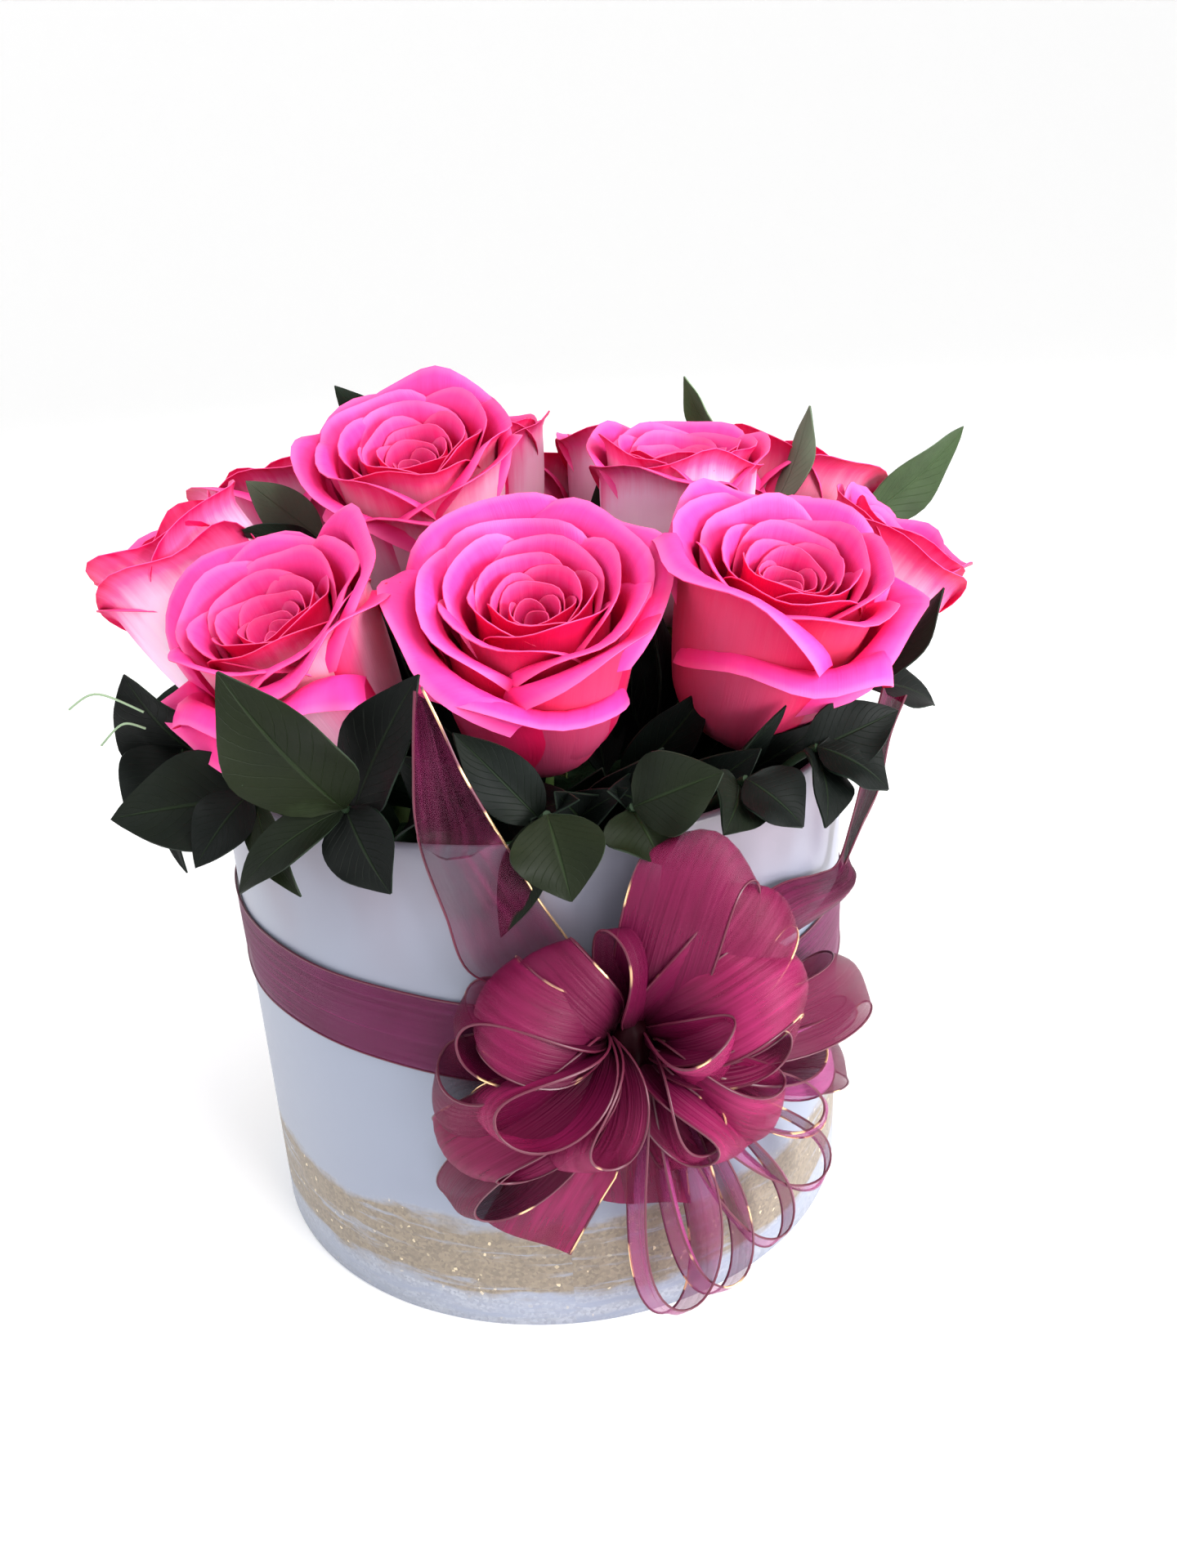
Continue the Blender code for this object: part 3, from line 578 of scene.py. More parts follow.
def stem_finish():
    f = Finish("stems_green")
    here = f.here()
    patch = f.noise(here, 90.0, 3.0)
    grain = f.noise(here, 900.0, 2.0)
    colour = f.ramp(patch, ((0.3, (0.10, 0.21, 0.05)), (0.7, (0.22, 0.32, 0.10))))
    return f.set(Base_Color=colour, Roughness=0.45 + grain * 0.2, Normal=f.bump(grain, 0.0003, 0.4))


STEM = stem_finish()


def make_stems():
    shape = Shape()
    along = np.linspace(0, 1, 9)
    across = np.linspace(-1, 1, 5)
    for face, way, lean, size, _, turn, _ in ROSES.values():
        base, axis, axes = rose_axes(face, way, lean, size)
        seat = base - axis * SEAT_GAP
        below = seat - axis * CALYX_HEIGHT
        foot = np.array((base[0] * HOLE_PULL, base[1] * HOLE_PULL, FOAM_TOP - STEM_DEPTH))
        collar = foot + (0, 0, STEM_DEPTH + 2)
        reach = np.linalg.norm(below - collar)
        curve = bezier(collar, collar + (0, 0, reach * 0.4), below - axis * reach * 0.4, below, STEM_STEPS)
        cup = [below + axis * CALYX_HEIGHT * s for s in CUP_SHARES]
        radii = (STEM_RADIUS,) * STEM_STEPS + CUP_RADII
        shape.add(tube([foot, *curve, *cup], radii, 12))
        for k in range(SEPALS):
            angle = math.radians(turn) + k * 2 * math.pi / SEPALS
            width = 3.4 * (1 - along) ** 0.7 * (0.6 + 0.4 * along)
            out = 5.6 * size + 9 * along
            rise = -3 + 5 * along
            u = across[:, None]
            grid = np.stack([out - 0.8 * u**2 + 0 * u, u * width, rise + 0.6 * u**2 * (1 - along)], -1)
            points, quads = slab(grid, SEPAL_THICKNESS)
            shape.add((turned_about_z(points, angle) @ axes.T + base, quads))
    stems = shape.piece("rose_stems", STEM, "stems")
    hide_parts(*(f"stem_{name}" for name in ROSES))


make_stems()

# %% [markdown]
# ## The leaves
# Dark glossy leaves fill the space between the blooms and the rim, and a few tall ones stand up behind.
# A leaf is a chord from its root to its tip that is arched, folded up a little along its midrib, waved at
# its edges and as wide as a smooth curve that starts narrow and ends in a point.

# %% Leaf finish
# The darkest stops are near black: partly the leaves' own dark tone, partly painted shade where leaves lie
# under the blooms.
LEAF_TONE_AND_SHADE_STOPS = (
    (0.0, (0.0016, 0.0026, 0.0022)),
    (0.35, (0.0024, 0.0048, 0.0036)),
    (0.7, (0.0072, 0.0115, 0.0026)),
    (1.0, (0.050, 0.088, 0.034)),
)


def leaf_finish():
    f = Finish("leaves_dark")
    across, along, top = f.read("place")
    tone_and_shade, _, _ = f.read("tint")
    here = f.here()
    patch = f.noise(here, 55.0, 3.0)
    rib = 1 - f.range(abs(across), 0.015, 0.06)
    slant = along * 11.0 - abs(across) * 3.6
    side_vein = f.range(abs(slant.math("FRACT") - 0.5), 0.44, 0.5) * (1 - f.range(abs(across), 0.7, 1.0))
    vein = rib.math("MAXIMUM", side_vein * 0.35)
    dark = f.ramp(tone_and_shade + (patch - 0.5) * 0.35, LEAF_TONE_AND_SHADE_STOPS)
    under = f.mix(tone_and_shade**6.0, (0.010, 0.020, 0.012), (0.34, 0.46, 0.30))
    colour = f.mix(vein * 0.12, f.mix(top, under, dark), (0.05, 0.10, 0.030))
    grain = f.noise(here, 700.0, 2.0)
    return f.set(
        Base_Color=colour,
        Roughness=0.50 + patch * 0.2 - top * 0.06,
        Specular_IOR_Level=0.14,
        Normal=f.bump(grain * 0.15 - vein, 0.0005, 0.6),
    )


LEAF = leaf_finish()
print("finish:", LEAF.name)

# %% Sprays
TWIG_RADIUS = 1.1
TWIG_DEPTH = 16
TWIG_STEPS = 12
LEAF_GRID = (7, 15)
LEAF_THICKNESS = 0.5
BLADE_UPTURN = 0.6

# Each spray: its hole, the end of its twig, and its leaves. Each leaf: its root's share of the way along
# the twig, its tip, width, arch and roll, and how light it is, partly its own tone and partly painted shade
SPRAYS = {
    "far_left": ((-70, -28), (-91, -42, 158), (
        (1.0, (-105, -50, 143), 19, 0.10, 60, 0.30),
        (0.8, (-99, -50, 182), 27, 0.08, -60, 0.02),
        (0.9, (-88, -67, 135), 10, 0.14, 0, 0.10),
        (0.6, (-110, -16, 153), 19, 0.10, 0, 0.10),
    )),
    "left": ((-58, -49), (-70, -64, 154), (
        (1.0, (-84, -73, 139), 14, 0.12, 35, 0.15),
        (0.9, (-57, -87, 136), 11, 0.10, 0, 0.60),
        (0.75, (-106, -60, 148), 24, 0.08, 10, 0.42),
    )),
    "front_left": ((-36, -67), (-45, -83, 156), (
        (1.0, (-66, -93, 194), 27, 0.06, 0, 0.65),
        (0.92, (-35, -95, 139), 18, 0.08, 0, 0.05),
        (0.8, (-24, -86, 188), 20, 0.04, 0, 0.0),
        (0.96, (-72, -83, 136), 11, 0.16, 0, 0.50),
    )),
    "front": ((-4, -75), (2, -91, 154), (
        (1.0, (6, -100, 136), 21, 0.10, 0, 0.65),
        (0.75, (-18, -84, 173), 14, 0.06, 0, 0.35),
        (0.9, (-11, -92.4, 124), 11, 0.02, 0, 0.50),
    )),
    "front_right": ((19, -73), (22, -90, 154), (
        (1.0, (42, -95, 163), 19, 0.08, 0, 0.55),
        (0.88, (27, -99, 143), 20, 0.08, 0, 0.60),
    )),
    "right": ((39, -66), (50, -79, 154), (
        (1.0, (62, -87, 144), 18, 0.08, 0, 0.20),
        (0.85, (42, -94, 147), 16, 0.08, 0, 0.45),
    )),
    "right_side": ((57, -51), (71, -62, 154), (
        (1.0, (88, -67, 143), 19, 0.10, 0, 0.30),
        (0.8, (93, -56, 160), 17, 0.08, 0, 0.25),
        (0.9, (69, -80, 140), 16, 0.10, 0, 0.20),
    )),
    "far_right": ((76, -14), (96, -21, 157), (
        (1.0, (112, -30, 184), 13, 0.04, 0, 0.15),
        (0.85, (118, -9, 143), 17, 0.10, 0, 0.20),
    )),
    "tall_right": ((68, 26), (104, 35, 188), ((1.0, (146, 61, 212), 17, 0.06, -30, 0.85),)),
    "tall_back_right": ((58, 12), (78, 26, 198), ((1.0, (88, 26, 226), 12, 0.05, 0, 0.85),)),
    "tall_pale": ((38, 62), (72, 92, 205), ((1.0, (61, 100, 229), 11, 0.05, 180, 1.0),)),
    "tall_left": ((-48, 20), (-58, 28, 196), (
        (1.0, (-76, 19, 216), 14, 0.06, 0, 0.80),
        (0.8, (-74, -6, 207), 12, 0.06, 0, 0.30),
    )),
    "tall_back_left": ((-34, 46), (-33, 52, 212), ((1.0, (-51, 46, 238), 14, 0.05, 0, 0.35),)),
    "between": ((12, 26), (24, 44, 176), ((1.0, (26, 46, 204), 10, 0.04, 0, 0.45),)),
}

# Back sprays: azimuth in degrees from the front, and the turn of each leaf from there
BACK_SPRAYS = {
    "back_1": (107, (0, 15)),
    "back_2": (150, (0, 15, -15)),
    "back_3": (206, (0, 14, -14)),
    "back_4": (250, (0, 14, -14)),
}
BACK_HOLE_RADIUS = 77
BACK_END = (93, 154)
BACK_LEAVES = ((1.0, 122, 140, 21, 0.10), (0.85, 116, 150, 17, 0.08), (0.7, 115, 143, 17, 0.08))


def leaf_grid(root, tip, width, arch, roll, wave=0.0):
    """A leaf's points: root + chord * v, plus arch * 4v(1 - v) upwards, plus width and fold across u."""
    root, tip = np.asarray(root, float), np.asarray(tip, float)
    chord = tip - root
    length = np.linalg.norm(chord)
    outward = unit(root * (1, 1, 0))
    flat = unit(np.cross(chord, outward + (0, 0, BLADE_UPTURN)))
    face = np.cross(flat, chord) / length
    side = math.cos(roll) * flat + math.sin(roll) * face
    top = math.cos(roll) * face - math.sin(roll) * flat
    u = np.linspace(-1, 1, LEAF_GRID[0])[:, None, None]
    v = np.linspace(0, 1, LEAF_GRID[1])[None, :, None]
    outline = np.sin(np.pi * v**0.82) ** 0.85 * (1 - 0.25 * v) * 1.12
    half = width / 2 * np.maximum(outline, 0.05 * (1 - v) + 0.012)
    centre = root + chord * v + top * arch * length * 4 * v * (1 - v)
    ripple = wave * np.sin(9 * v + 4 * u) * np.abs(u) ** 2 * half * 0.22
    return centre + side * u * half + top * (np.abs(u) ** 1.4 * half * 0.26 + ripple)


LEAF_PLACE = place_of(LEAF_GRID)


def add_leaf(shape, root, tip, width, arch, roll, tone_and_shade, wave):
    grid = leaf_grid(root, tip, width, arch, math.radians(roll), wave)
    shape.add(slab(grid, LEAF_THICKNESS), LEAF_PLACE, (tone_and_shade, 0, 0))


def twig_path(hole, end):
    """A twig's deep end in the foam, and the curve from the foam's top to the twig's other end."""
    end = np.array(end, float)
    foot = np.array((*hole, 0.0))
    collar = foot + (0, 0, FOAM_TOP + 2)
    rise = np.array((0, 0, np.linalg.norm(end - collar)))
    curve = bezier(collar, collar + rise * 0.45, end - (end - collar) * 0.25 + rise * 0.12, end, TWIG_STEPS)
    return foot + (0, 0, FOAM_TOP - TWIG_DEPTH), curve


# Two pale tendrils that stick out at the far left: root, bend, tip
TENDRILS = (
    ((-96, -50, 172), (-107, -50, 179), (-114, -50, 174)),
    ((-96, -51, 168), (-101, -52, 171), (-108, -50, 164)),
)
TENDRIL_RADIUS = 0.3


def make_spray(name, hole, end, leaves):
    shape = Shape()
    for root, bend, tip in TENDRILS if name == "far_left" else ():
        path = bezier(root, bend, bend, tip, TWIG_STEPS)
        shape.add(tube(path, TENDRIL_RADIUS, 6), tint=(1.0, 0, 0))
    foot, curve = twig_path(hole, end)
    shape.add(tube([foot, *curve], TWIG_RADIUS, 8), tint=(0.3, 0, 0))
    share = np.linspace(0, 1, len(curve))
    for k, (along, tip, width, arch, roll, tone_and_shade) in enumerate(leaves):
        root = [np.interp(along, share, curve[:, axis]) for axis in range(3)]
        add_leaf(shape, root, tip, width * 1.04, arch, roll, tone_and_shade, wave=(-1) ** k * 0.6)
    spray = shape.piece(f"leaves_{name}", LEAF, "leaves")
    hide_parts(f"spray_{name}")


for name, (hole, end, leaves) in SPRAYS.items():
    make_spray(name, hole, end, leaves)
for name, (azimuth, turns) in BACK_SPRAYS.items():
    leaves = [
        (along, (*polar(radius, azimuth + turn), height), width, arch, 0, 0.3)
        for turn, (along, radius, height, width, arch) in zip(turns, BACK_LEAVES)
    ]
    end = (*polar(BACK_END[0], azimuth), BACK_END[1])
    make_spray(name, polar(BACK_HOLE_RADIUS, azimuth), end, leaves)

# %% [markdown]
# ## The leaf bed
# A florist hides the foam with short leafy pieces that are pushed in between the stems. They are in deep
# shade, so what counts is that no light foam shows: the two outer rings of leaves lean out towards the
# rim, and four inner ones stand up between the blooms.

# %% Leaf bed
# Rings of leaves: count, root radius, root height, tip radius, tip height, width
BED_RINGS = (
    (30, 66, 138, 92, 152, 17),
    (26, 60, 138, 86, 160, 16),
    (20, 44, 136, 64, 164, 16),
    (12, 22, 136, 38, 168, 16),
    (14, 38, 136, 26, 176, 18),
    (9, 6, 136, 16, 172, 20),
)
LOWEST_TIP = 149
# Single leaves that close the gaps between the blooms: root, tip, width
FILLERS = (
    ((-30, -22, 140), (-36, -30, 186), 20),
    ((-26, -24, 140), (-22, -34, 182), 18),
    ((36, -18, 140), (34, -24, 186), 20),
    ((30, -16, 140), (22, -20, 192), 18),
    ((-52, -4, 140), (-62, -8, 190), 20),
    ((-46, -8, 140), (-50, -16, 186), 18),
    ((78, -6, 140), (86, -14, 186), 18),
    ((66, -8, 140), (64, -12, 182), 18),
    ((8, 20, 140), (10, 14, 196), 20),
    ((0, 30, 140), (-6, 36, 198), 18),
)


def make_leaf_bed():
    random = np.random.default_rng(7)
    shape = Shape()
    for count, root_radius, root_height, tip_radius, tip_height, width in BED_RINGS:
        for k in range(count):
            azimuth = 360 * (k + random.uniform(-0.3, 0.3)) / count
            swing = azimuth + random.uniform(-16, 16)
            root = polar(root_radius + random.uniform(-4, 4), azimuth)
            root = (*root, root_height + random.uniform(-6, 4))
            tip = polar(tip_radius + random.uniform(-5, 4), swing)
            tip = (*tip, max(tip_height + random.uniform(-12, 8), LOWEST_TIP))
            broad = width * random.uniform(0.85, 1.2)
            arch, roll = random.uniform(0.02, 0.12), random.uniform(-25, 25)
            # Bed leaves are drawn near black: partly their own dark tone, partly painted shade.
            tone_and_shade, wave = random.uniform(0.0, 0.35), random.uniform(-0.8, 0.8)
            add_leaf(shape, root, tip, broad, arch, roll, tone_and_shade, wave)
    for root, tip, width in FILLERS:
        roll = random.uniform(-20, 20)
        add_leaf(shape, root, tip, width, 0.03, roll, 0.1, random.uniform(-0.5, 0.5))
    shape.piece("leaf_bed", LEAF, "leaves")


make_leaf_bed()

# %% [markdown]
# ## The hat box
# The box is a satin white drum with a rolled rim. A strip near its foot is brushed with gold glitter
# paint whose top edge is uneven, and silver strokes lie below it. Both are in the finish: the strokes
# are noise that is stretched round the drum, and the glitter is a field of tiny cells, each with its
# own colour. The few brightest cells carry painted glints, and painted shadow darkens the wall under the
# rim.

# %% Box finish
BOX_RADIUS = 90
BOX_HEIGHT = 146
BOX_WALL = 2.5
BOX_SIDES = 192
TURN_SCALE = 0.09


def board_finish():
    f = Finish("board_white_glitter")
    here = f.here()
    x, y, z = f.split(here)
    turn = x.math("ARCTAN2", y) * TURN_SCALE
    height = z * 1000.0
    edge = f.noise(f.vector(turn, z * 3.0), 40.0, 3.0, 0.6)
    stroke = f.noise(f.vector(turn, z * 13.0 + edge * 0.08), 26.0, 5.0, 0.65)
    level = height + (edge - 0.5) * 14.0
    gold = f.range(level, 9.0, 13.0) * (1 - f.range(level, 32.0, 37.0))
    gold = gold * f.range(stroke, 0.22, 0.48)
    silver = (1 - f.range(level, 10.0, 18.0)) * f.range(stroke, 0.36, 0.62)
    cells = f.add("TexVoronoi", None, {"Vector": here, "Scale": 1100.0}, "Color")
    warm, cool, spark = f.split(cells)
    # Painted glints: the few brightest glitter cells are drawn pale gold, as if they caught the light.
    painted_sparkle = f.range(spark, 0.985, 0.998) * 0.7
    paint = (gold * 0.9).math("MAXIMUM", silver * 0.8)
    # Painted shadow: the wall is darkened in patches under the rim, where the rim and the leaves shade it.
    patch = f.noise(f.vector(turn, z * 0.6), 30.0, 2.0)
    painted_rim_shadow = (0.5 + f.range(patch, 0.38, 0.62) * 0.5) * f.range(height, 92.0, 140.0)
    white = f.mix(painted_rim_shadow * 0.8, (0.25, 0.28, 0.365), (0.19, 0.145, 0.18))
    gold_colour = f.mix(warm, (0.19, 0.148, 0.100), (0.29, 0.23, 0.155))
    silver_colour = f.mix(cool, (0.27, 0.285, 0.33), (0.42, 0.44, 0.50))
    glitter = f.mix(gold, silver_colour, gold_colour)
    glitter = f.mix(painted_sparkle, glitter, (0.90, 0.74, 0.48))
    grain = f.noise(here, 260.0, 3.0)
    rise = paint * (0.55 + spark * 0.25) + grain * 0.02
    return f.set(
        Base_Color=f.mix(paint, white, glitter),
        Metallic=paint * 0.25,
        Roughness=0.34 + paint * 0.16 + grain * 0.05,
        Coat_Weight=0.15,
        Coat_Roughness=0.25,
        Normal=f.bump(rise, 0.0002, 0.4),
    )


BOARD = board_finish()


def make_box():
    rim = np.linspace(0, np.pi, 7)
    half = BOX_WALL / 2
    middle = BOX_RADIUS - half
    profile = [(BOX_RADIUS - 0.6, 0.0), (BOX_RADIUS, 0.6)]
    profile += [(BOX_RADIUS, z) for z in np.linspace(8, BOX_HEIGHT - half - 4, 16)]
    profile += [(middle + half * np.cos(a), BOX_HEIGHT - half + half * np.sin(a)) for a in rim]
    inner = BOX_RADIUS - BOX_WALL
    profile += [(inner, z) for z in np.linspace(BOX_HEIGHT - half - 4, 8, 10)]
    profile += [(inner, 0.0)]
    shape = Shape()
    shape.add(turned(profile, BOX_SIDES))
    wall = shape.piece("hat_box", BOARD, "board", sharp=50)
    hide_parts("box_wall")


make_box()

# %% Base card, liner and foam keep their frame shapes
def card_finish():
    f = Finish("card_grey")
    here = f.here()
    fibre = f.noise(here, 420.0, 4.0)
    colour = f.mix(fibre, (0.50, 0.47, 0.42), (0.66, 0.62, 0.56))
    return f.set(Base_Color=colour, Roughness=0.8, Normal=f.bump(fibre, 0.0002, 0.4))


def film_finish():
    f = Finish("film_clear")
    crease = f.noise(f.here(), 60.0, 3.0)
    dents = f.bump(crease, 0.0006, 0.5)
    return f.set(Base_Color=(0.55, 0.60, 0.58), Roughness=0.18 + crease * 0.15, Normal=dents)


def foam_finish():
    f = Finish("foam_green")
    here = f.here()
    grain = f.noise(here, 800.0, 3.0)
    patch = f.noise(here, 60.0, 2.0)
    colour = f.mix(grain * 0.6 + patch * 0.4, (0.015, 0.055, 0.018), (0.05, 0.14, 0.05))
    return f.set(Base_Color=colour, Roughness=0.9, Normal=f.bump(grain, 0.0006, 0.8))


for node, finish in (("box_base", card_finish()), ("liner", film_finish()), ("foam", foam_finish())):
    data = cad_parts[node].data
    data.materials.clear()
    data.materials.append(finish)
print("finished in their frame shapes: box_base, liner, foam")

# %% [markdown]
# ## The ribbon
# The ribbon is sheer plum organza, 22 mm wide, with a fine wire along each edge that is drawn dark plum
# with painted gold glints in patches. The cloth itself lets light through, so where two layers cross the
# colour doubles. The wires hold the curves, and they are rings carried along the cloth's own edges.

# %% Organza and wire finishes
# A seed offset that marks loops standing on edge, whose cloth gets a painted sheen.
ON_EDGE_SHEEN_SEED = 100


def organza_finish(name, cover, low, high, shine=0.2):
    """Cover is each surface's own share of light held back, and dense cloth holds back nearly all.

    The tint holds how dark the painted shade is at the gathers and in deep loops, the loop's seed, and how
    dense the cloth is. A seed over half the on-edge mark stands for a loop on edge, whose cloth gets a
    paler painted sheen."""
    f = Finish(name)
    across, along, _ = f.read("place")
    gather, seed, dense = f.read("tint")
    here = f.here()
    pleat = f.noise(f.vector(across * 3.4, along * 1.4, seed * 9.0), 2.0, 3.0)
    weave = f.noise(here, 1600.0, 1.0)
    crease = f.noise(here, 55.0, 2.0)
    # Lighter where pleats and creases fall: partly the doubled cloth, partly painted highlight where folds
    # catch the light.
    colour = f.mix(f.range(pleat * 0.5 + crease * 0.5, 0.32, 0.70), low, high)
    fold_line = f.noise(f.vector(across * 9.0, along * 0.7, seed * 5.0), 2.0, 2.0)
    # Painted sheen: loops that stand on edge are drawn paler.
    colour = f.mix(f.range(seed, ON_EDGE_SHEEN_SEED * 0.5, ON_EDGE_SHEEN_SEED * 0.6) * 0.6, colour, (0.52, 0.11, 0.36))
    # Painted shade: the colour sinks towards dark wine and near black at the gathers and in deep loops.
    colour = f.mix(f.range(gather, 0.0, 0.62), colour, (0.11, 0.002, 0.032))
    colour = f.mix(f.range(gather, 0.55, 1.0), colour, (0.010, 0.0004, 0.002))
    return f.set(
        Base_Color=colour,
        Roughness=0.42 + weave * 0.15,
        Alpha=cover + (pleat - 0.5) * 0.22 + dense * (0.95 - cover),
        Specular_IOR_Level=shine,
        Normal=f.bump(pleat * 0.6 + fold_line * (0.4 + gather), 0.0010, 0.5),
    )


def wire_finish():
    f = Finish("wire_gold")
    gold, _, _ = f.read("tint")
    # Painted glints: gold patches where the noise is high, more of them where the gold share is higher;
    # dark plum elsewhere.
    painted_glint = f.range(f.noise(f.here(), 75.0, 1.0) + gold * 0.16, 0.62, 0.68)
    colour = f.mix(painted_glint, (0.10, 0.010, 0.030), (1.0, 0.66, 0.36))
    return f.set(Base_Color=colour, Metallic=painted_glint * 0.8, Roughness=0.4 - painted_glint * 0.16)


ORGANZA = organza_finish("organza_sheer", 0.33, (0.19, 0.004, 0.045), (0.47, 0.024, 0.15))
# The straps use the same organza in darker colours: painted shade, where they lie under the roses.
ORGANZA_STRAP_SHADED = organza_finish("organza_strap_painted_shade", 0.34, (0.055, 0.003, 0.020), (0.16, 0.012, 0.065))
ORGANZA_BAND = organza_finish("organza_double", 0.72, (0.11, 0.007, 0.050), (0.16, 0.014, 0.085))
# The knot is drawn near black: partly its wound layers, partly painted shade deep in the bow.
ORGANZA_KNOT = organza_finish("organza_knot", 1.1, (0.008, 0.0004, 0.002), (0.030, 0.001, 0.007), 0.05)
WIRE = wire_finish()
print("finishes:", *(m.name for m in (ORGANZA, ORGANZA_STRAP_SHADED, ORGANZA_BAND, ORGANZA_KNOT, WIRE)))

# %% Ribbon helpers
RIBBON_WIDTH = 22
CLOTH_THICKNESS = 0.16
WIRE_RADIUS = 0.33
WIRE_SIDES = 6


def add_cloth(shape, grid, seed, gather, dense):
    tint = [np.tile(np.broadcast_to(value, grid.shape[:2]).ravel(), 2) for value in (gather, seed, dense)]
    shape.add(slab(grid, CLOTH_THICKNESS), place_of(grid.shape), np.stack(tint, -1))


def add_wires(shape, grid, gold, closed=False):
    """A ring carried along both edges of a cloth, in the frame of the cloth's own width and normal."""
    for edge, inner in ((0, 1), (-1, -2)):
        path = grid[edge]
        side = unit(path - grid[inner])
        ahead = np.gradient(path, axis=0)
        if closed:
            ahead = np.roll(path, -1, axis=0) - np.roll(path, 1, axis=0)
        other = unit(np.cross(unit(ahead), side))
        angle = np.linspace(0, 2 * np.pi, WIRE_SIDES, endpoint=False)
        ring = np.cos(angle)[:, None] * side[:, None] + np.sin(angle)[:, None] * other[:, None]
        points = (path[:, None] + ring * WIRE_RADIUS).reshape(-1, 3)
        count = len(path)
        index = np.arange(count * WIRE_SIDES).reshape(count, WIRE_SIDES)
        over = np.roll(index, -1, axis=1)
        if closed:
            quads = strips(np.concatenate([index, index[:1]]), np.concatenate([over, over[:1]]))
            wire = points, quads
        else:
            wire = np.concatenate([points, path[:1], path[-1:]]), strips(index, over), end_fans(index, over)
        shape.add(wire, tint=(gold[edge], 0, 0))


# %% [markdown]
# The band runs once round the drum, and slopes down to the right as it does in the picture.

# %% Band
BAND_HEIGHT = 92
BAND_TILT = 5.3
BAND_RADIUS = 90.75
BAND_STEPS = 200
BAND_ACROSS = 7
PINCH_AZIMUTH = math.radians(10)
PINCH_REACH = 0.16


def make_band():
    """A ring that tilts by z = -tilt * x, wavers a little and is pinched under the knot."""
    angle = np.linspace(0, 2 * np.pi, BAND_STEPS, endpoint=False)
    u = np.linspace(-1, 1, BAND_ACROSS)[:, None]
    from_knot = (angle - PINCH_AZIMUTH + np.pi) % (2 * np.pi) - np.pi
    pinch = np.exp(-((from_knot / PINCH_REACH) ** 2))
    half = RIBBON_WIDTH / 2 * (1 - 0.3 * pinch)
    wave = 0.35 * np.sin(7 * angle) + 0.2 * np.sin(13 * angle + 1)
    radius = BAND_RADIUS + 0.12 * np.sin(9 * angle + 2 * u) + 0 * u
    x, y = radius * np.sin(angle), -radius * np.cos(angle)
    z = BAND_HEIGHT - BAND_TILT * x / BOX_RADIUS + u * half + wave
    grid = np.stack([x, y, z + 0 * u], -1)
    shift = unit(grid * (1, 1, 0)) * CLOTH_THICKNESS / 2
    points = np.concatenate([(grid + shift).reshape(-1, 3), (grid - shift).reshape(-1, 3)])
    count = BAND_ACROSS * BAND_STEPS
    index = np.arange(count).reshape(BAND_ACROSS, BAND_STEPS)
    over = np.roll(index, -1, axis=1)
    outer = strips(index, over)
    low = np.stack([index[0] + count, over[0] + count, over[0], index[0]], -1)
    high = np.stack([index[-1], over[-1], over[-1] + count, index[-1] + count], -1)
    shape = Shape()
    quads = np.concatenate([outer, outer[:, ::-1] + count, low, high])
    shape.add((points, quads), place_of(grid.shape))
    band = shape.piece("ribbon_round_box", ORGANZA_BAND, "organza")
    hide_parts("ribbon_band")
    wires = Shape()
    add_wires(wires, grid, (-1, -1), closed=True)
    wires = wires.piece("wire_round_box", WIRE, "organza")


make_band()

# %% [markdown]
# Two straps leave the knot. The left one climbs the wall, goes over the rim and rises in front of the
# leaves. The right one follows the wall to the right side, and then climbs beside the last rose.

# %% Straps
# Each strap: points of its left or upper edge, points of its other edge, as (x, y, z)
LEFT_STRAP = (
    (
        (11.5, -93.3, 102.5), (-4.9, -93.9, 109.1), (-19.1, -92.2, 115.0), (-23.4, -92.1, 130.9),
        (-26.9, -93.2, 146.6), (-27.6, -95.2, 158.2), (-26.6, -96.0, 169.8), (-25.5, -95.5, 180.0),
        (-24.6, -94.5, 187.0),
    ),
    (
        (14.6, -92.9, 104.3), (11.1, -92.5, 112.3), (5.1, -92.9, 121.7), (-2.1, -93.0, 134.8),
        (-7.4, -94.7, 147.7), (-11.4, -97.4, 157.8), (-16.0, -98.0, 168.9), (-19.5, -97.0, 179.1),
        (-23.0, -95.0, 188.0),
    ),
)
RIGHT_STRAP = (
    (
        (20.4, -92.8, 100.2), (33.2, -89.0, 110.6), (46.6, -81.6, 118.9), (60.0, -71.1, 121.0),
        (72.4, -58.4, 116.4), (80.1, -49.1, 114.5), (84.7, -45.1, 124.8), (88.6, -41.0, 136.2),
        (89.6, -45.2, 151.6), (92.0, -46.0, 163.4),
    ),
    (
        (22.3, -92.4, 94.6), (37.4, -86.2, 99.2), (51.4, -77.5, 104.0), (61.3, -69.9, 105.3),
        (74.2, -56.1, 105.7), (81.7, -48.5, 112.6), (87.1, -44.9, 122.0), (94.2, -37.4, 131.0),
        (95.6, -41.4, 147.6), (99.2, -42.2, 159.0),
    ),
)
STRAP_STEPS = 64
STRAP_ACROSS = 11


def smooth_line(points, count):
    """A Catmull-Rom line through the points: each stretch bends with its two neighbours' slopes."""
    points = np.asarray(points, float)
    padded = np.concatenate([2 * points[:1] - points[1:2], points, 2 * points[-1:] - points[-2:-1]])
    s = np.linspace(0, len(points) - 1 - 1e-9, count)
    k = s.astype(int)
    t = (s - k)[:, None]
    a, b, c, d = (padded[k + n] for n in range(4))
    bends = (2 * a - 5 * b + 4 * c - d) * t**2 + (3 * b - a - 3 * c + d) * t**3
    return 0.5 * (2 * b + (c - a) * t + bends)


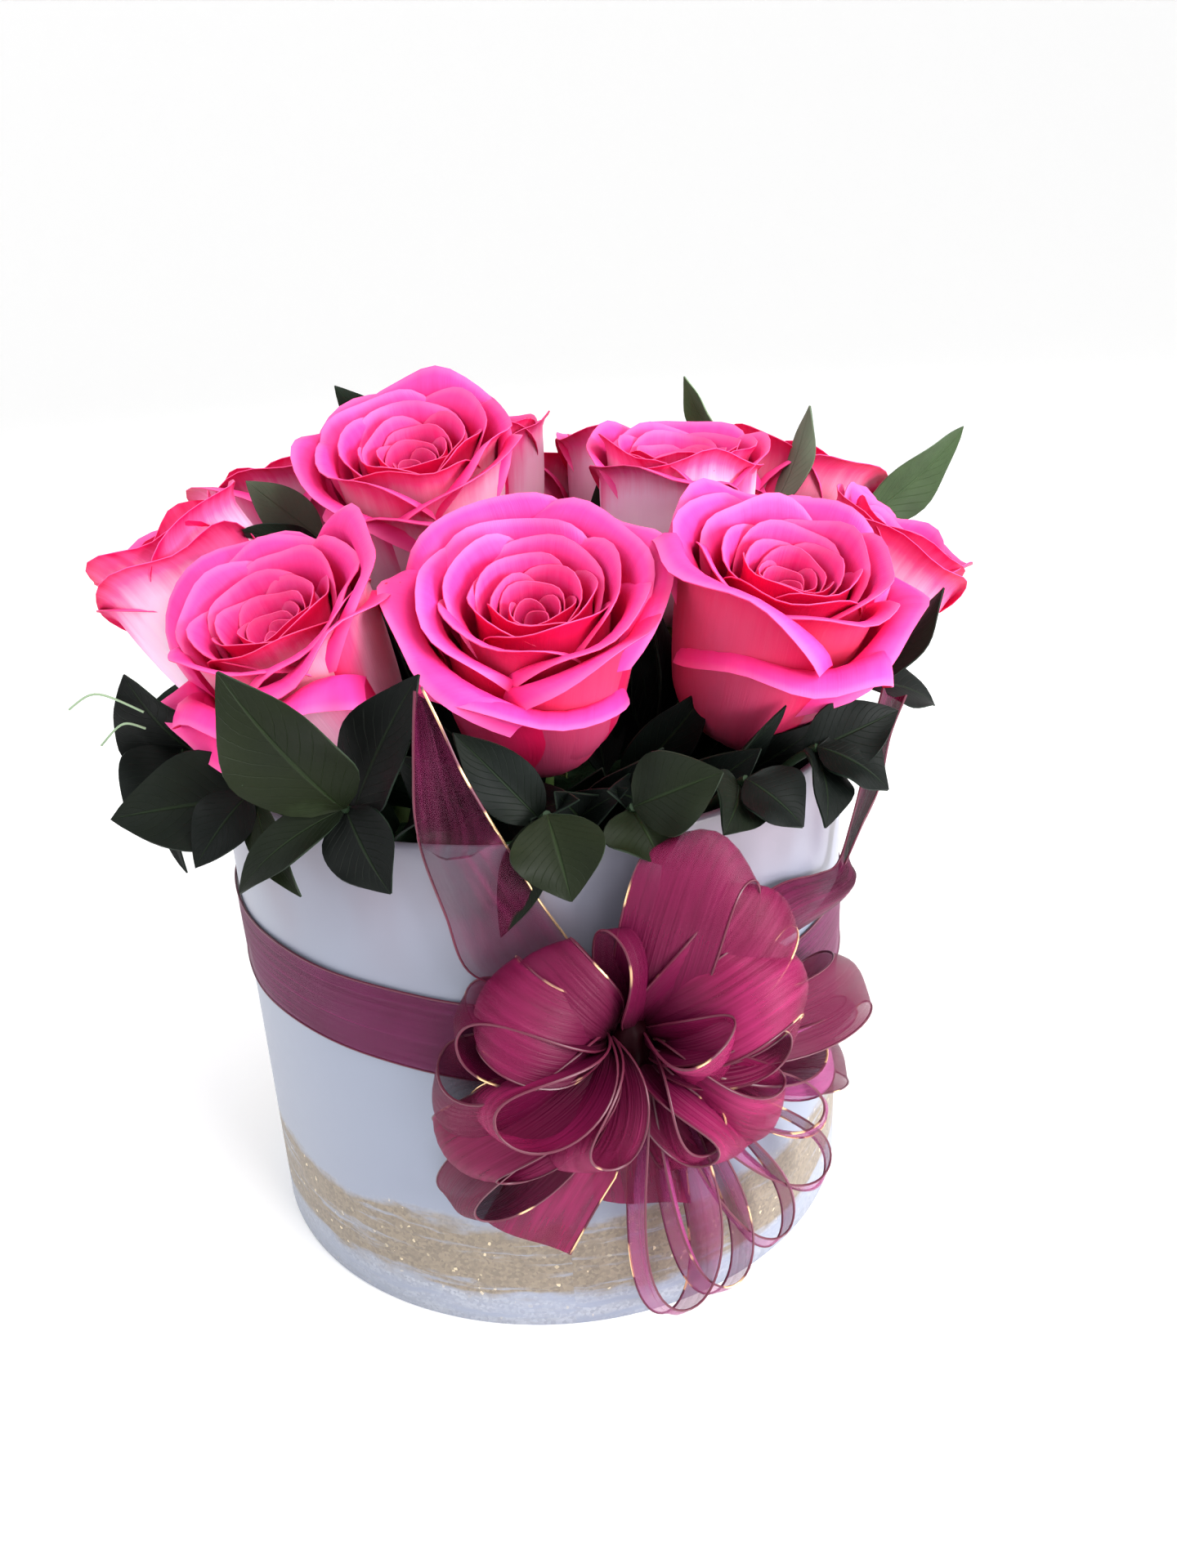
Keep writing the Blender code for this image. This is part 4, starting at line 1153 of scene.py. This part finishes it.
# The way the free part's arch turns, and the share of a strap's length at which it leaves the wall
BEHIND = (0.08, 0.84, -0.53)
DEEPEST_ARCH = 7
LEAVES_WALL = 0.56


def strap_grid(one, other):
    """one * (1 - u) / 2 + other * (1 + u) / 2 between the two edges, plus an arch 1 - u^2.

    The arch takes up the ribbon's spare width: its depth is sqrt(3/8 * chord * (width - chord)). It stands
    out from the wall, and where the strap is free it turns away behind the edges."""
    one, other = smooth_line(one, STRAP_STEPS), smooth_line(other, STRAP_STEPS)
    u = np.linspace(-1, 1, STRAP_ACROSS)[:, None, None]
    t = np.linspace(0, 1, STRAP_STEPS)[None, :, None]
    outward = unit((one + other) * (1, 1, 0))
    free = 1 / (1 + np.exp(-(t - LEAVES_WALL) * 40))
    way = unit(outward * (1 - free) + np.array(BEHIND) * free)
    chord = np.minimum(np.linalg.norm(one - other, axis=1), RIBBON_WIDTH)[None, :, None]
    arch = np.minimum(np.sqrt(0.375 * chord * (RIBBON_WIDTH - chord)) + 0.5, DEEPEST_ARCH)
    ripple = 0.3 * np.sin(9 * u + 3 * t + 8 * t**2)
    return one * (1 - u) / 2 + other * (1 + u) / 2 + way * (arch + ripple) * (1 - u**2)


def make_strap(name, node, edges, gold, dense):
    grid = strap_grid(*edges)
    shape, wires = Shape(), Shape()
    # Painted shade: the strap darkens where it leaves the knot.
    gather = np.linspace(1, 0, STRAP_STEPS)[None, :] ** 5
    add_cloth(shape, grid, 0.4, gather, dense)
    add_wires(wires, grid, gold)
    strap = shape.piece(f"{name}_cloth", ORGANZA_STRAP_SHADED, "organza")
    wires = wires.piece(f"{name}_wire", WIRE, "organza")
    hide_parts(node)


make_strap("strap_left", "ribbon_strap_left", LEFT_STRAP, (-1, 1.6), 0.0)
make_strap("strap_right", "ribbon_strap_right", RIGHT_STRAP, (-0.3, -1), 0.75)

# %% [markdown]
# ## The bow
# A pull bow is one long ribbon in many loops that are all gathered at the knot. Each loop is a strip
# whose centre line leaves the knot, opens like a drop and comes back. The loop's roll says whether it
# shows its flat side, as petals do, or stands on edge, so that you see through it. Near the knot the
# cloth is gathered, so its width shrinks and pleats run along it, and painted shade darkens it there
# and in the loops that lie deep in the bow.

# %% Bow
KNOT_AZIMUTH = math.radians(10)
KNOT_HEIGHT = 93
KNOT_SIZE = (6.5, 7.6, 11)
KNOT_STANDOFF = 6
KNOT_GRID = (48, 25)
BOW_RADIUS = 94
LOOP_STEPS = 53
LOOP_ACROSS = 9
TAIL_STEPS = 30
LEFT_ROOT = np.array((-5, 7, 8))
RIGHT_ROOT = np.array((3, 3, 4))
TAIL_ROOT = (0, 0, 4)
LAYER_LIFT = 1.0
WALL_CLEARANCE = -2.4
SOFTNESS = 1.2
TWIST = 22
# A roll over this many degrees is a loop that stands on edge
ON_EDGE = 70
PAINTED_DEEP_SHADE = 0.50
TIP_ROUNDING = 0.15

# Loops: tip (round, up, out) from the knot, half opening, roll in degrees, splay, bulge, and how much of
# one edge wire shows painted gold glints
LOOPS = (
    ((19, 57, 12), 4, 3, 7, 4, 0.0),
    ((32, 39, 16), 4.5, 38, 3, 5, 1.0),
    ((4, 34, 6), 3, 55, 0, 3, 0.0),
    ((34, 22, 22), 7, 12, 4, 6, 0.4),
    ((38, 7, 17), 6, -38, 0, 6, 0.2),
    ((73, -6, 8), 5, 40, 0, 5, 0.0),
    ((72, -34, 4), 5, 60, 0, 4, 0.0),
    ((66, -12, 11), 3, 80, 0, 4, 0.0),
    ((53, -19, 13), 7, 80, 0, 5, 0.2),
    ((48, -34, 16), 6, 83, 0, 5, 1.0),
    ((54, -61, 11), 7, 82, 0, 5, 0.2),
    ((39, -72, 10), 7.5, 80, 0, 5, 0.0),
    ((22, -80, 10), 7.5, 74, 0, 5, 0.0),
    ((8, -80, 12), 7.5, 72, 0, 5, 0.2),
    ((28, -20, 22), 4, 48, 0, 6, 0.8),
    ((21, -28, 19), 4.5, -52, 0, 6, 0.0),
    ((11, -29, 17), 4, 62, 0, 6, 0.5),
    ((16, 6, 25), 5, 70, 0, 5, 0.0),
    ((-31, 24, 13), 5, 4, 4, 6, 0.8),
    ((-22, 30, 9), 4, -14, 0, 5, 0.5),
    ((-38, 15, 8), 7, 58, 0, 4, 0.0),
    ((-44, -8, 11), 8, -50, 3, 6, 0.0),
    ((-31, -4, 24), 6.5, 69, 0, 5, 1.6),
    ((-40, -24, 14), 6.5, 34, 0, 6, 0.2),
    ((-42, -45, 7), 7, 62, 0, 5, 0.0),
    ((-16, -22, 19), 4, 52, 0, 6, 1.0),
)

# Tails: middle of the cut end, how much longer one edge is, and how much of the wire shows painted gold
# glints
TAILS = (((-27, -52, 8), -2, 0.2), ((1, -44, 9), 5.5, 1.0))


def on_wall(s, w, n):
    """From the bow's own measure, s round the wall, w up from the knot and n out, to the frame's."""
    azimuth = KNOT_AZIMUTH + s / BOW_RADIUS
    radius = BOW_RADIUS + n
    return np.stack([radius * np.sin(azimuth), -radius * np.cos(azimuth), KNOT_HEIGHT + w + 0 * s], axis=-1)


def ribbon_axes(root, tip, roll):
    """Ahead from the knot to the tip, across the ribbon (turned by the roll) and square to its face.

    Roll 0 shows the flat ribbon to the picture's viewer and roll 90 shows its edge."""
    ahead = np.array(tip, float) - root
    length = np.linalg.norm(ahead)
    ahead = ahead / length
    azimuth = KNOT_AZIMUTH + tip[0] / BOW_RADIUS
    cos, sin = math.cos(azimuth), math.sin(azimuth)
    sight = unit(np.array(CAMERA_PLACE) / MM - on_wall(*np.array(tip, float)))
    facing = np.array((sight @ (cos, sin, 0), sight[2], sight @ (sin, -cos, 0)))
    flat = unit(np.cross(facing, ahead))
    turn = math.radians(roll)
    broad = math.cos(turn) * flat + math.sin(turn) * facing
    return length, ahead, broad, unit(np.cross(ahead, broad))


def against_wall(points, lift):
    """Nothing goes deeper than the wall: n = clearance + a soft maximum, so cloth flattens there."""
    n = points[..., 2] - WALL_CLEARANCE - lift
    n = np.logaddexp(0, n * SOFTNESS) / SOFTNESS + WALL_CLEARANCE + lift
    return on_wall(points[..., 0], points[..., 1], n)


def loop_grid(tip, opening, roll, splay, bulge, pleats):
    """The loop goes out = sin^2(pi t) of the way to its tip, and its two sides part by
    opening * 1.42 * sin(2 pi t) * sin(pi t)^1.5. Its width grows from the gathers at the knot to the
    full ribbon. Beside the points it gives how dark the painted shade is and how dense the cloth is
    along the loop."""
    root = LEFT_ROOT if tip[0] < 0 else RIGHT_ROOT
    length, ahead, broad, face = ribbon_axes(root, tip, roll)
    t = np.linspace(0.0, 1.0, LOOP_STEPS)[None, :, None]
    u = np.linspace(-1, 1, LOOP_ACROSS)[:, None, None]
    half_turn = np.sin(np.pi * t)
    out = half_turn**2
    on_edge = roll > ON_EDGE
    twist = math.radians(0 if on_edge else TWIST) * math.sin(2.4 * pleats) * np.cos(np.pi * t) * out
    cos, sin = np.cos(twist), np.sin(twist)
    broad, face = cos * broad + sin * face, cos * face - sin * broad
    gap = opening * 1.42 * np.sin(2 * np.pi * t) * (half_turn + 1e-9) ** 1.5
    half = RIBBON_WIDTH / 2 * (0.12 + 0.88 * (1 - np.exp(-((half_turn / 0.36) ** 2))))
    gather = np.exp(-((half_turn / 0.42) ** 2))
    wave = np.sin(u * 2.6 + 7 * t + pleats) + 0.6 * np.sin(9 * t - 3 * u + 2 * pleats)
    rise = 1.3 * gather * np.sin(u * np.pi * 2.4 + pleats) + 0.65 * (1 - gather) * wave
    edge_curl = 0.9 * (1 - gather) * u**2 * np.cos(np.pi * t)
    sideways = u * half + splay * out * np.cos(np.pi * t)
    rounding = TIP_ROUNDING * max(math.cos(math.radians(roll)), 0) ** 2
    reach = length * out * (1 - rounding * u**2 * out**3)
    points = root + ahead * reach + face * (gap + rise + edge_curl) + broad * sideways
    points = points + np.array((0, 0, bulge)) * np.sin(np.pi * out**0.8)
    # Painted shade: loops that lie close to the wall are darker, and every loop darkens towards its
    # gathers.
    depth = 0.0 if on_edge else PAINTED_DEEP_SHADE * (1 - min(max((tip[2] - 4) / 18, 0), 1))
    gathers = np.exp(-((half_turn[0, :, 0] / (0.5 if on_edge else 0.7)) ** 2))
    dark = gathers + (1 - gathers) * depth
    sheer_tip = out[0, :, 0] ** 2.5 * (0.40 if tip[0] < -20 and tip[1] < -20 else 0.85)
    dense = (0.30 if on_edge else 1.0) * (1 - sheer_tip)
    return against_wall(points, LAYER_LIFT * (pleats % 1.2)), dark, dense


def tail_grid(tip, slant):
    """A tail that starts gathered in the knot, fans out and ends in a slanted cut."""
    length, ahead, broad, face = ribbon_axes(np.array(TAIL_ROOT), tip, 0)
    t = np.linspace(0, 1, TAIL_STEPS)[None, :, None]
    u = np.linspace(-1, 1, LOOP_ACROSS)[:, None, None]
    half = RIBBON_WIDTH / 2 * np.minimum(1, 0.14 + t * 1.6)
    rise = 2.2 * np.sin(t * 6.0) + 1.2 * np.sin(u * 2.5 + 3 * t) + 3 * np.sin(np.pi * t)
    points = TAIL_ROOT + ahead * t * (length + slant / 2 * u) + broad * u * half + face * rise
    # Painted shade: the tail is darker all along and near black where it leaves the knot.
    dark = 0.3 + 0.7 * np.exp(-((t[0, :, 0] / 0.25) ** 2))
    return against_wall(points, 0.1), dark, 0.65 + 0.3 * (1 - t[0, :, 0])


def make_knot():
    """The wrap round the middle: an egg whose radius is ridged along the way the ribbon is wound."""
    ring = np.linspace(0, 2 * np.pi, KNOT_GRID[0], endpoint=False)[:, None]
    rise = np.linspace(0.02, np.pi - 0.02, KNOT_GRID[1])[None, :]
    ridge = 1 + 0.05 * np.sin(9 * ring + 2 * np.cos(rise)) * np.sin(rise) ** 2
    s = KNOT_SIZE[0] * np.sin(rise) * np.cos(ring) * ridge
    n = KNOT_SIZE[1] * np.sin(rise) * np.sin(ring) * ridge
    w = KNOT_SIZE[2] * np.cos(rise) + 0 * ring
    points = on_wall(s, w, n + KNOT_STANDOFF).reshape(-1, 3)
    index = np.arange(len(points)).reshape(KNOT_GRID)
    over = np.roll(index, -1, axis=0)
    top = fan(index[:, 0], over[:, 0], index.size)
    low = fan(over[:, -1], index[:, -1], index.size + 1)
    poles = on_wall(np.zeros(2), np.array((KNOT_SIZE[2], -KNOT_SIZE[2])), np.full(2, KNOT_STANDOFF))
    points = np.concatenate([points, poles])
    shape = Shape()
    shape.add((points, columns(index, over), top, low), tint=(1.0, 0, 0))
    return shape.piece("bow_knot", ORGANZA_KNOT, "organza")


def make_bow():
    cloth, wires = Shape(), Shape()
    for k, loop in enumerate(LOOPS):
        grid, gather, dense = loop_grid(*loop[:-1], pleats=k * 1.7)
        add_cloth(cloth, grid, k * 0.37 + ON_EDGE_SHEEN_SEED * (loop[2] > ON_EDGE), gather, dense)
        add_wires(wires, grid, (loop[-1], 0))
    for tail in TAILS:
        grid, gather, dense = tail_grid(*tail[:-1])
        add_cloth(cloth, grid, 0.7, gather, dense)
        add_wires(wires, grid, (0, tail[-1]))
    knot = make_knot()
    bow = cloth.piece("bow_loops", ORGANZA, "organza")
    wires = wires.piece("bow_wires", WIRE, "organza")
    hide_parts("bow")


make_bow()

# %% [markdown]
# ## Floor and light
# The floor is a pale bowl that curves up all round, so that no horizon shows from any side. A large soft
# light stands high at the front right, a low one shines on the box from the same side like a window,
# and weaker ones at the left and above fill the shadows.

# %% Stage and lights
FLOOR_RADIUS = 2.6
FLOOR_BEND = 2.6
FLAT_RINGS = (0.0005, 0.3, 0.8, 1.6, 2.4)
FLOOR_SIDES = 96


def make_stage():
    bend = np.linspace(-np.pi / 2, 0, 14)
    radius = np.concatenate([FLAT_RINGS, FLOOR_RADIUS + FLOOR_BEND * np.cos(bend)])
    height = np.concatenate([np.zeros(len(FLAT_RINGS)), FLOOR_BEND + FLOOR_BEND * np.sin(bend)])
    angle = np.linspace(0, 2 * np.pi, FLOOR_SIDES, endpoint=False)[:, None]
    points = np.stack([radius * np.cos(angle), radius * np.sin(angle), height + 0 * angle], -1)
    index = np.arange(FLOOR_SIDES * len(radius)).reshape(FLOOR_SIDES, -1)
    quads = columns(index, np.roll(index, -1, axis=0))
    glow = {"Emission_Color": (1.0, 1.0, 1.0), "Emission_Strength": 0.22}
    finish = Finish("floor_pale").set(Base_Color=(0.92, 0.92, 0.92), Roughness=0.9, **glow)
    mesh = bpy.data.meshes.new("floor")
    mesh.from_pydata(points.reshape(-1, 3).tolist(), [], quads[:, ::-1].tolist())
    mesh.shade_smooth()
    mesh.materials.append(finish)
    floor = bpy.data.objects.new("floor", mesh)
    bpy.context.scene.collection.objects.link(floor)


def add_light(name, place, aim, size, power, colour):
    data = bpy.data.lights.new(name, "AREA")
    data.shape = "SQUARE"
    data.size = size
    data.energy = power
    data.color = colour
    light = bpy.data.objects.new(name, data)
    light.location = place
    light.rotation_euler = (Vector(aim) - Vector(place)).to_track_quat("-Z", "Y").to_euler()
    bpy.context.scene.collection.objects.link(light)


# Each light: name, place, aim, size, power, colour
LIGHTS = (
    ("key", (0.9, -1.1, 1.7), (0, 0, 0.15), 0.8, 26, (1.0, 0.98, 0.96)),
    ("fill", (-1.4, -0.9, 1.1), (0, 0, 0.12), 1.0, 8, (0.94, 0.97, 1.0)),
    ("window", (1.1, -0.9, 0.35), (0.06, -0.06, 0.06), 0.6, 23, (1.0, 0.99, 1.0)),
    ("top", (0.1, 0.4, 1.9), (0, 0, 0.15), 1.2, 9, (1.0, 1.0, 1.0)),
)
make_stage()
for light in LIGHTS:
    add_light(*light)
world = bpy.data.worlds.new("world")
bpy.context.scene.world = world
world.use_nodes = True
sky = world.node_tree.nodes["Background"]
sky.inputs["Color"].default_value = (1.0, 1.0, 1.0, 1.0)
sky.inputs["Strength"].default_value = 0.6
bpy.context.scene.view_settings.view_transform = "Standard"
print("lights:", len(LIGHTS))
